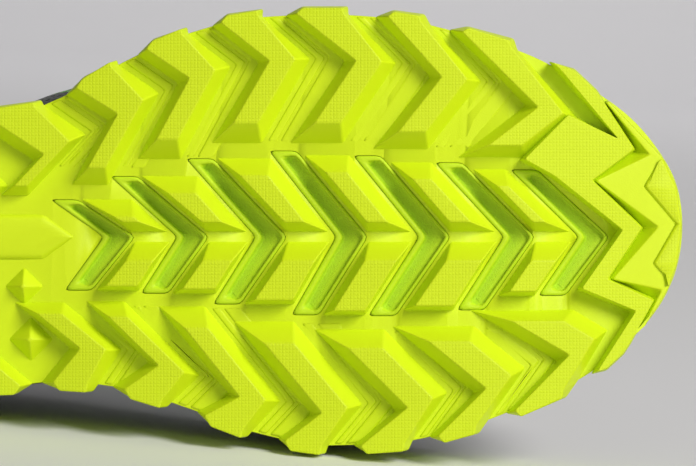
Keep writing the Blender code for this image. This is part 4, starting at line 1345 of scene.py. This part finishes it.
def foam_shell():
    """Body of the midsole: its side is a smooth profile from the outsole to the rim, carried
    round the sole, and its rim turns in to the upper."""
    half = SOLE_STATIONS
    loop = sole_loop(half)
    floor = tread_rise(loop[:, 0]) + LUG_HEIGHT + OUTSOLE_BASE + CLEARANCE
    bed = footbed(loop[:, 0])
    rows = np.stack((np.zeros(2 * half), np.full(2 * half, RIM_ROW)))
    outer = upper_at(half, rows)
    away = np.column_stack((outward(loop), np.zeros(len(loop))))
    rim_inner = outer[1] + away * CLEARANCE
    rim_foot = outer[0] + away * CLEARANCE
    rim_foot[:, 2] = footbed(rim_foot[:, 0])
    top = (rim_inner[:, 2] - floor) / (bed - floor)
    rings = []
    for share in np.linspace(0.0, 1.0, FOAM_ROWS):
        level = share * top
        inward = column(FOAM_SIDE, 1, level) + RIM_ROUND * smooth(0.96, 1.0, share)
        rings.append(ring(loop, -inward, floor + level * (bed - floor)))
    rings += [rim_inner + away * RIM_TURN, rim_inner, rim_foot]
    return shell_of(rings, sole_cap)


def pod_shell(index):
    """A pod in a window, with a rounded rim and a recess that is deepest along its rear
    edge and rises to its front. Also gives how much painted shade each point takes, which also
    brings in the grain."""
    rings = []
    shade_and_grain_shares = []
    for inward, deep, share in POD_LEVELS:
        wide = rounded(window_ring(index, -inward), WINDOW_CUT)
        thin = rounded(window_ring(index, -WINDOW_FRONT * inward), WINDOW_CUT)
        rear = np.arange(len(wide)) < len(wide) // 2
        plan = np.where(rear[:, None], wide, thin) if share > 0.0 else wide
        slant = np.where(rear, 1.0, WINDOW_SLANT) if share > 0.5 else 1.0
        height = LUG_HEIGHT + deep * slant + tread_rise(plan[:, 0])
        rings.append(np.column_stack((plan, height)))
        # Painted shade of the recess: full along its rear, weaker at its front
        shade_and_grain_shares.append(np.where(rear, share, WINDOW_SHADE * share))
    return shell_of(rings, strip_faces), np.concatenate(shade_and_grain_shares)


def midsole_mesh():
    """Foam midsole with its pods, which rise in the outsole's windows."""
    body = foam_shell()
    shells = [body]
    shade_and_grain_shares = [np.zeros(len(body[0]))]
    for index in range(len(WINDOWS)):
        pod, depth = pod_shell(index)
        shells.append(pod)
        shade_and_grain_shares.append(depth)
    points, faces = gather(shells)
    mesh = new_mesh("midsole_foam", lay(points), faces)
    # The depth mask carries the painted shade of the window recesses, and where their grain shows
    set_mask(mesh, "depth", np.concatenate(shade_and_grain_shares))
    return mesh


def insole_mesh():
    """Insole: a thin bed inside the upper with its edge turned up a little."""
    loop = upper_inside(SOLE_STATIONS, 3)[0][:, :2]
    rings = []
    for inward, height in INSOLE_LEVELS:
        plan = loop - outward(loop) * inward
        rings.append(np.column_stack((plan, footbed(plan[:, 0]) + height)))
    points, faces = shell_of(rings, sole_cap)
    mesh = new_mesh("insole_bed", lay(points), faces)
    set_plan(mesh, "cloth", points[:, :2])
    return mesh


def tongue_body():
    """Top face of the tongue: sections from the eyestay's underside on one side, crowned
    between, to the other side, from the collar to the toe."""
    half = UPPER_STATIONS
    inside = upper_inside(half, 3)
    cap, stay = upper_edges(half)
    nothing = np.zeros(len(cap))
    rows = banded([nothing, cap, stay, nothing + 1.0], (3, 3, 3))
    under = inside - surface_normals(upper_at(half, rows)) * TONGUE_PLAY
    index = np.arange(half // 2, half - 9)
    medial = under[[-4, -2, -1]][:, index].transpose(1, 0, 2)
    lateral = under[[-4, -2, -1]][:, -index].transpose(1, 0, 2)
    shares = np.array((0.25, 0.5, 0.75))[None, :, None]
    middle = medial[:, -1:] * (1.0 - shares) + lateral[:, -1:] * shares
    middle = middle + TONGUE_CROWN * 4.0 * shares * (1.0 - shares) * np.array((0.0, 0.0, 1.0))
    knots = np.concatenate((medial, middle, lateral[:, ::-1]), axis=1)
    place = np.linspace(0.0, 1.0, 9)[None].repeat(len(knots), axis=0)
    fine = np.linspace(0.0, 1.0, 49)[None].repeat(len(knots), axis=0)
    return np.stack([ease_rows(place, knots[:, :, axis], fine) for axis in range(3)], axis=2)


def tongue_tab(edge):
    """Free end of the tongue: its first section, moved away and made smaller by steps."""
    centre = edge[len(edge) // 2]
    rows = []
    for share in np.linspace(1.0, 0.0, 12, endpoint=False):
        narrow = 1.0 - (1.0 - TAB_BREADTH) * smooth(0.0, 0.8, share)
        smaller = np.array((TAB_LENGTH, narrow, TAB_HEIGHT))
        squeeze = 1.0 + (smaller - 1.0) * smooth(0.0, 0.7, share)
        shift = np.array(TAB_DIRECTION) * TONGUE_TAB * share
        rows.append(centre + (edge - centre) * squeeze + shift)
    return rows


def tongue_mesh():
    """Tongue: its top face and tab, given a padded thickness that thins to its edges."""
    body = tongue_body()
    top = np.concatenate((tongue_tab(body[0]), body))
    normals = unit(np.cross(np.gradient(top, axis=0), np.gradient(top, axis=1)))
    across_share = np.linspace(-1.0, 1.0, top.shape[1])
    taper = np.sqrt(np.clip(1.0 - np.abs(across_share) ** 6, 0.02, 1.0))
    run = np.concatenate((np.linspace(0.15, 1.0, 5), np.ones(len(top) - 5)))
    thick = TONGUE_THICKNESS * np.linspace(*TONGUE_TAPER, len(top)) * run
    bottom = top - normals * (thick[:, None] * taper)[:, :, None]
    loops = np.concatenate((top, bottom[:, ::-1]), axis=1)
    steps = (np.diff(loops, axis=1, prepend=loops[:, :1]),
             np.diff(loops, axis=0, prepend=loops[:1]))
    reach, length = [np.cumsum(np.linalg.norm(step, axis=2), axis=axis)
                     for axis, step in zip((1, 0), steps)]
    points, faces = shell_of(loops, strip_faces)
    mesh = new_mesh("tongue_padding", lay(points), faces)
    set_plan(mesh, "cloth", np.stack((reach, length), axis=-1).reshape(-1, 2))
    return mesh


def lace_stops(start_way, end_way, start_side):
    """Points and normals of one crossing: up out of an eyelet, over the eyestay's edge,
    across the tongue and down into the other side's eyelet."""
    over = LACE_THICKNESS / 8.0 if start_side > 0 and start_way != end_way else 0.0
    lift = LACE_LIFT + LACE_THICKNESS / 2.0 + over
    near = (1.0 - LACE_SLANT) * start_way + LACE_SLANT * end_way
    far = LACE_SLANT * start_way + (1.0 - LACE_SLANT) * end_way
    stops = ((start_way, start_side, 1.0, -LACE_SINK), (start_way, start_side, LACE_TURN, lift),
             (near, start_side, 0.0, lift), (far, -start_side, 0.0, lift),
             (end_way, -start_side, LACE_TURN, lift), (end_way, -start_side, 1.0, -LACE_SINK))
    points = []
    normals = []
    for way, side, share, height in stops:
        point, normal = stay_point(way, side, share)
        points.append(point + normal * height)
        normals.append(normal)
    upward = unit(normals[2] + normals[3])
    points.insert(3, (points[2] + points[3]) / 2.0 + upward * LACE_CROWN * LACE_THICKNESS)
    normals.insert(3, upward)
    return np.array(points), np.array(normals)


def ribbon(points, normals):
    """A flat lace along a smooth path: a rounded oblong section of sixteen points, carried
    along it. Also gives the lengths along and across it."""
    steps = np.linalg.norm(np.diff(points, axis=0), axis=1)
    knots = np.concatenate(([0.0], np.cumsum(steps)))
    at = np.linspace(0.0, knots[-1], LACE_STEPS)
    path = np.stack([ease(knots, points[:, axis], at) for axis in range(3)], axis=1)
    up = np.stack([ease(knots, normals[:, axis], at) for axis in range(3)], axis=1)
    along = np.gradient(path, axis=0)
    sideways = unit(np.cross(along, up))
    up = unit(np.cross(sideways, along))
    turn = np.linspace(0.0, 2.0 * math.pi, LACE_POINTS, endpoint=False)
    flat = np.sign(np.cos(turn)) * np.abs(np.cos(turn)) ** 0.5 * LACE_WIDTH / 2.0
    thick = np.sign(np.sin(turn)) * np.abs(np.sin(turn)) ** 0.8 * LACE_THICKNESS / 2.0
    away = smooth(0.0, LACE_PINCH_RUN, np.minimum(at, knots[-1] - at))
    narrow = LACE_PINCH + (1.0 - LACE_PINCH) * away
    rings = (path[:, None] + sideways[:, None] * (flat * narrow[:, None])[:, :, None]
             + up[:, None] * thick[None, :, None])
    plan = np.stack(np.broadcast_arrays(at[:, None], flat[None, :]), axis=-1)
    return rings, plan.reshape(-1, 2)


def lace_mesh():
    """Lace: the lowest bar and the crossings, each through its two eyelets."""
    ways = [(LACE_ROWS[-1], LACE_ROWS[-1], -1)]
    for first, second in zip(LACE_ROWS[::-1], LACE_ROWS[-2::-1]):
        ways += [(first, second, -1), (first, second, 1)]
    shells = []
    plans = []
    for start, end, side in ways:
        rings, plan = ribbon(*lace_stops(start, end, side))
        shells.append(shell_of(rings, strip_faces))
        plans.append(plan)
    points, faces = gather(shells)
    mesh = new_mesh("lace_braid", lay(points), faces)
    set_plan(mesh, "cloth", np.concatenate(plans))
    return mesh


class ShoeLook(bpy.types.PropertyGroup):
    """Colours and finish sizes that a user would change."""

    rubber: bpy.props.FloatVectorProperty(
        name="Rubber", description="Colour of the outsole", subtype="COLOR",
        default=(0.655, 0.815, 0.005), min=0.0, max=1.0)
    foam: bpy.props.FloatVectorProperty(
        name="Foam", description="Colour of the midsole", subtype="COLOR",
        default=(0.545, 0.755, 0.010), min=0.0, max=1.0)
    mesh: bpy.props.FloatVectorProperty(
        name="Mesh", description="Colour of the upper's knitted mesh", subtype="COLOR",
        default=(0.045, 0.052, 0.048), min=0.0, max=1.0)
    overlay: bpy.props.FloatVectorProperty(
        name="Overlays", description="Colour of the welded overlays", subtype="COLOR",
        default=(0.022, 0.024, 0.024), min=0.0, max=1.0)
    accent: bpy.props.FloatVectorProperty(
        name="Accent", description="Colour of the streaks in the mesh", subtype="COLOR",
        default=(0.14, 0.46, 0.05), min=0.0, max=1.0)
    lining: bpy.props.FloatVectorProperty(
        name="Lining", description="Colour of the lining and the collar", subtype="COLOR",
        default=(0.020, 0.022, 0.022), min=0.0, max=1.0)
    insole: bpy.props.FloatVectorProperty(
        name="Insole", description="Colour of the insole's cloth", subtype="COLOR",
        default=(0.10, 0.32, 0.05), min=0.0, max=1.0)
    lace: bpy.props.FloatVectorProperty(
        name="Lace", description="Colour of the lace", subtype="COLOR",
        default=(0.16, 0.50, 0.06), min=0.0, max=1.0)
    hatch_pitch: bpy.props.FloatProperty(
        name="Hatch pitch", description="Pitch of the fine hatch on the lugs",
        default=0.00088, min=0.0003, max=0.01, unit="LENGTH", precision=5)
    mesh_pitch: bpy.props.FloatProperty(
        name="Mesh pitch", description="Pitch of the cells of the knitted mesh",
        default=0.0034, min=0.0005, max=0.02, unit="LENGTH", precision=5)


class StageLook(bpy.types.PropertyGroup):
    """Camera and light."""

    distance: bpy.props.FloatProperty(
        name="Camera distance", description="Distance from the camera to the tread",
        default=0.9, min=0.2, max=5.0, unit="LENGTH")
    key_power: bpy.props.FloatProperty(
        name="Key power", description="Power of the large soft light", default=129.0, min=0.0)
    sky: bpy.props.FloatProperty(
        name="Sky", description="Strength of the even light from all sides",
        default=0.12, min=0.0)
    floor: bpy.props.FloatVectorProperty(
        name="Floor", description="Colour of the floor", subtype="COLOR",
        default=(0.80, 0.795, 0.79), min=0.0, max=1.0)


class OBJECT_OT_shoe_outsole(bpy.types.Operator):
    """Make the lugged rubber outsole"""

    bl_idname = "object.shoe_outsole"
    bl_label = "Outsole"

    def execute(self, context):
        finish = rubber_finish(context.scene.shoe_look)
        piece = new_piece("outsole_rubber", outsole_mesh(), finish, "rubber", "outsole")
        weighted = piece.modifiers.new("even_shading", "WEIGHTED_NORMAL")
        weighted.keep_sharp = True
        return {"FINISHED"}


class OBJECT_OT_shoe_midsole(bpy.types.Operator):
    """Make the foam midsole with the pods that show in the windows"""

    bl_idname = "object.shoe_midsole"
    bl_label = "Midsole"

    def execute(self, context):
        finish = foam_finish(context.scene.shoe_look)
        new_piece("midsole_foam", midsole_mesh(), finish, "foam", "midsole")
        return {"FINISHED"}


class OBJECT_OT_shoe_upper(bpy.types.Operator):
    """Make the upper with its overlays, collar and eyelets"""

    bl_idname = "object.shoe_upper"
    bl_label = "Upper"

    def execute(self, context):
        finish = upper_finish(context.scene.shoe_look)
        new_piece("upper_knit", upper_mesh(), finish, "upper_mesh", "upper")
        return {"FINISHED"}


class OBJECT_OT_shoe_inside(bpy.types.Operator):
    """Make the insole and the tongue"""

    bl_idname = "object.shoe_inside"
    bl_label = "Insole and tongue"

    def execute(self, context):
        look = context.scene.shoe_look
        bed = cloth_finish("green_insole", look.insole, (0.14, 0.40, 0.08), 0.0012)
        insole = new_piece("insole_bed", insole_mesh(), bed, "insole_cloth", "insole")
        pad = cloth_finish("charcoal_padding", look.lining, (0.05, 0.055, 0.055), 0.0022)
        tongue = new_piece("tongue_padding", tongue_mesh(), pad, "tongue_cloth", "tongue")
        return {"FINISHED"}


class OBJECT_OT_shoe_lace(bpy.types.Operator):
    """Make the lace through its eyelets"""

    bl_idname = "object.shoe_lace"
    bl_label = "Lace"

    def execute(self, context):
        finish = lace_finish(context.scene.shoe_look)
        new_piece("lace_braid", lace_mesh(), finish, "lace_cord", "lace")
        return {"FINISHED"}


def area_light(name, place, target, size, power, colour):
    """A square soft light at a place, turned to a target."""
    data = bpy.data.lights.new(name, "AREA")
    data.size = size
    data.energy = power
    data.color = colour
    lamp = bpy.data.objects.new(name, data)
    bpy.context.scene.collection.objects.link(lamp)
    lamp.location = place
    lamp.rotation_euler = (Vector(target) - Vector(place)).to_track_quat("-Z", "Y").to_euler()


def floor_mesh():
    """Floor that curves up into a backdrop: a quarter circle between two flats."""
    flat = np.linspace(-FLOOR_HALF, FLOOR_BEND_START, 12)
    turn = np.linspace(0.0, math.pi / 2.0, 24)[1:]
    depth = np.concatenate((flat, FLOOR_BEND_START + FLOOR_BEND * np.sin(turn),
                            [FLOOR_BEND_START + FLOOR_BEND]))
    height = np.concatenate((np.zeros(len(flat)), FLOOR_BEND * (1.0 - np.cos(turn)),
                             [FLOOR_TOP]))
    x, y = np.meshgrid(np.linspace(-FLOOR_HALF, FLOOR_HALF, 9), depth)
    z = np.broadcast_to(height[:, None], x.shape)
    points = np.stack((x, y, z), axis=-1).reshape(-1, 3)
    mesh = new_mesh("floor", points, [grid_faces(*x.shape)])
    if mesh.polygons[0].normal.z < 0.0:
        mesh.flip_normals()
    return mesh


def paper_finish(look):
    """Matt paper with a faint mottle."""
    made = Finish("paper", roughness=0.8, specular=0.2)
    mottle = made.noise(made.place(), 3.0)
    shade = tuple(look.floor)
    darker = tuple(channel * 0.9 for channel in shade)
    made.feed("Base Color", made.mix(mottle * 0.1, shade, darker))
    return made.material


def aim_camera(camera, distance):
    """Place a camera square to the tread, with the toe to the right and the medial side
    on top, and give it the lens for the breadth that it is to see."""
    axes = np.diag((1.0, -1.0, -1.0)) @ TURN.T
    place = lay(np.array(VIEW_CENTRE) - (0.0, 0.0, distance))
    matrix = np.eye(4)
    matrix[:3, :3] = axes.T
    matrix[:3, 3] = place
    camera.matrix_world = Matrix(matrix.tolist())
    camera.data.sensor_width = SENSOR
    camera.data.lens = SENSOR * distance / VIEW_BREADTH
    camera.data.clip_start = 0.01


class OBJECT_OT_shoe_stage(bpy.types.Operator):
    """Make the floor, the camera and the lights"""

    bl_idname = "object.shoe_stage"
    bl_label = "Stage"

    def execute(self, context):
        look = context.scene.shoe_stage
        mesh = floor_mesh()
        mesh.materials.append(paper_finish(look))
        floor = bpy.data.objects.new("floor", mesh)
        camera = bpy.data.objects.new("camera", bpy.data.cameras.new("camera"))
        for item in (floor, camera):
            context.scene.collection.objects.link(item)
        aim_camera(camera, look.distance)
        context.scene.camera = camera
        for name, (place, target, size, share, colour) in LIGHTS.items():
            area_light(name, place, target, size, share * look.key_power, colour)
        world = bpy.data.worlds.new("studio")
        world.use_nodes = True
        background = world.node_tree.nodes["Background"]
        background.inputs[0].default_value = (0.95, 0.94, 1.0, 1.0)
        background.inputs[1].default_value = look.sky
        context.scene.world = world
        context.scene.view_settings.view_transform = "Standard"
        return {"FINISHED"}


class VIEW3D_PT_shoe(bpy.types.Panel):
    """Panel that lists the pieces of the shoe"""

    bl_label = "Trail running shoe"
    bl_space_type = "VIEW_3D"
    bl_region_type = "UI"
    bl_category = "Shoe"

    def draw(self, context):
        layout = self.layout
        for name in ShoeLook.__annotations__:
            layout.prop(context.scene.shoe_look, name)
        for name in StageLook.__annotations__:
            layout.prop(context.scene.shoe_stage, name)
        for operator in OPERATORS:
            layout.operator(operator.bl_idname)


OPERATORS = (OBJECT_OT_shoe_stage, OBJECT_OT_shoe_outsole, OBJECT_OT_shoe_midsole,
             OBJECT_OT_shoe_upper, OBJECT_OT_shoe_inside, OBJECT_OT_shoe_lace)
CLASSES = (ShoeLook, StageLook, *OPERATORS, VIEW3D_PT_shoe)


def register():
    """Add the classes and both groups of properties."""
    for item in CLASSES:
        bpy.utils.register_class(item)
    bpy.types.Scene.shoe_look = bpy.props.PointerProperty(type=ShoeLook)
    bpy.types.Scene.shoe_stage = bpy.props.PointerProperty(type=StageLook)


def unregister():
    """Take them away again."""
    del bpy.types.Scene.shoe_stage
    del bpy.types.Scene.shoe_look
    for item in reversed(CLASSES):
        bpy.utils.unregister_class(item)


def main():
    register()
    bpy.ops.object.shoe_stage()
    bpy.ops.object.shoe_outsole()
    bpy.ops.object.shoe_midsole()
    bpy.ops.object.shoe_upper()
    bpy.ops.object.shoe_inside()
    bpy.ops.object.shoe_lace()


if __name__ == "__main__":
    main()
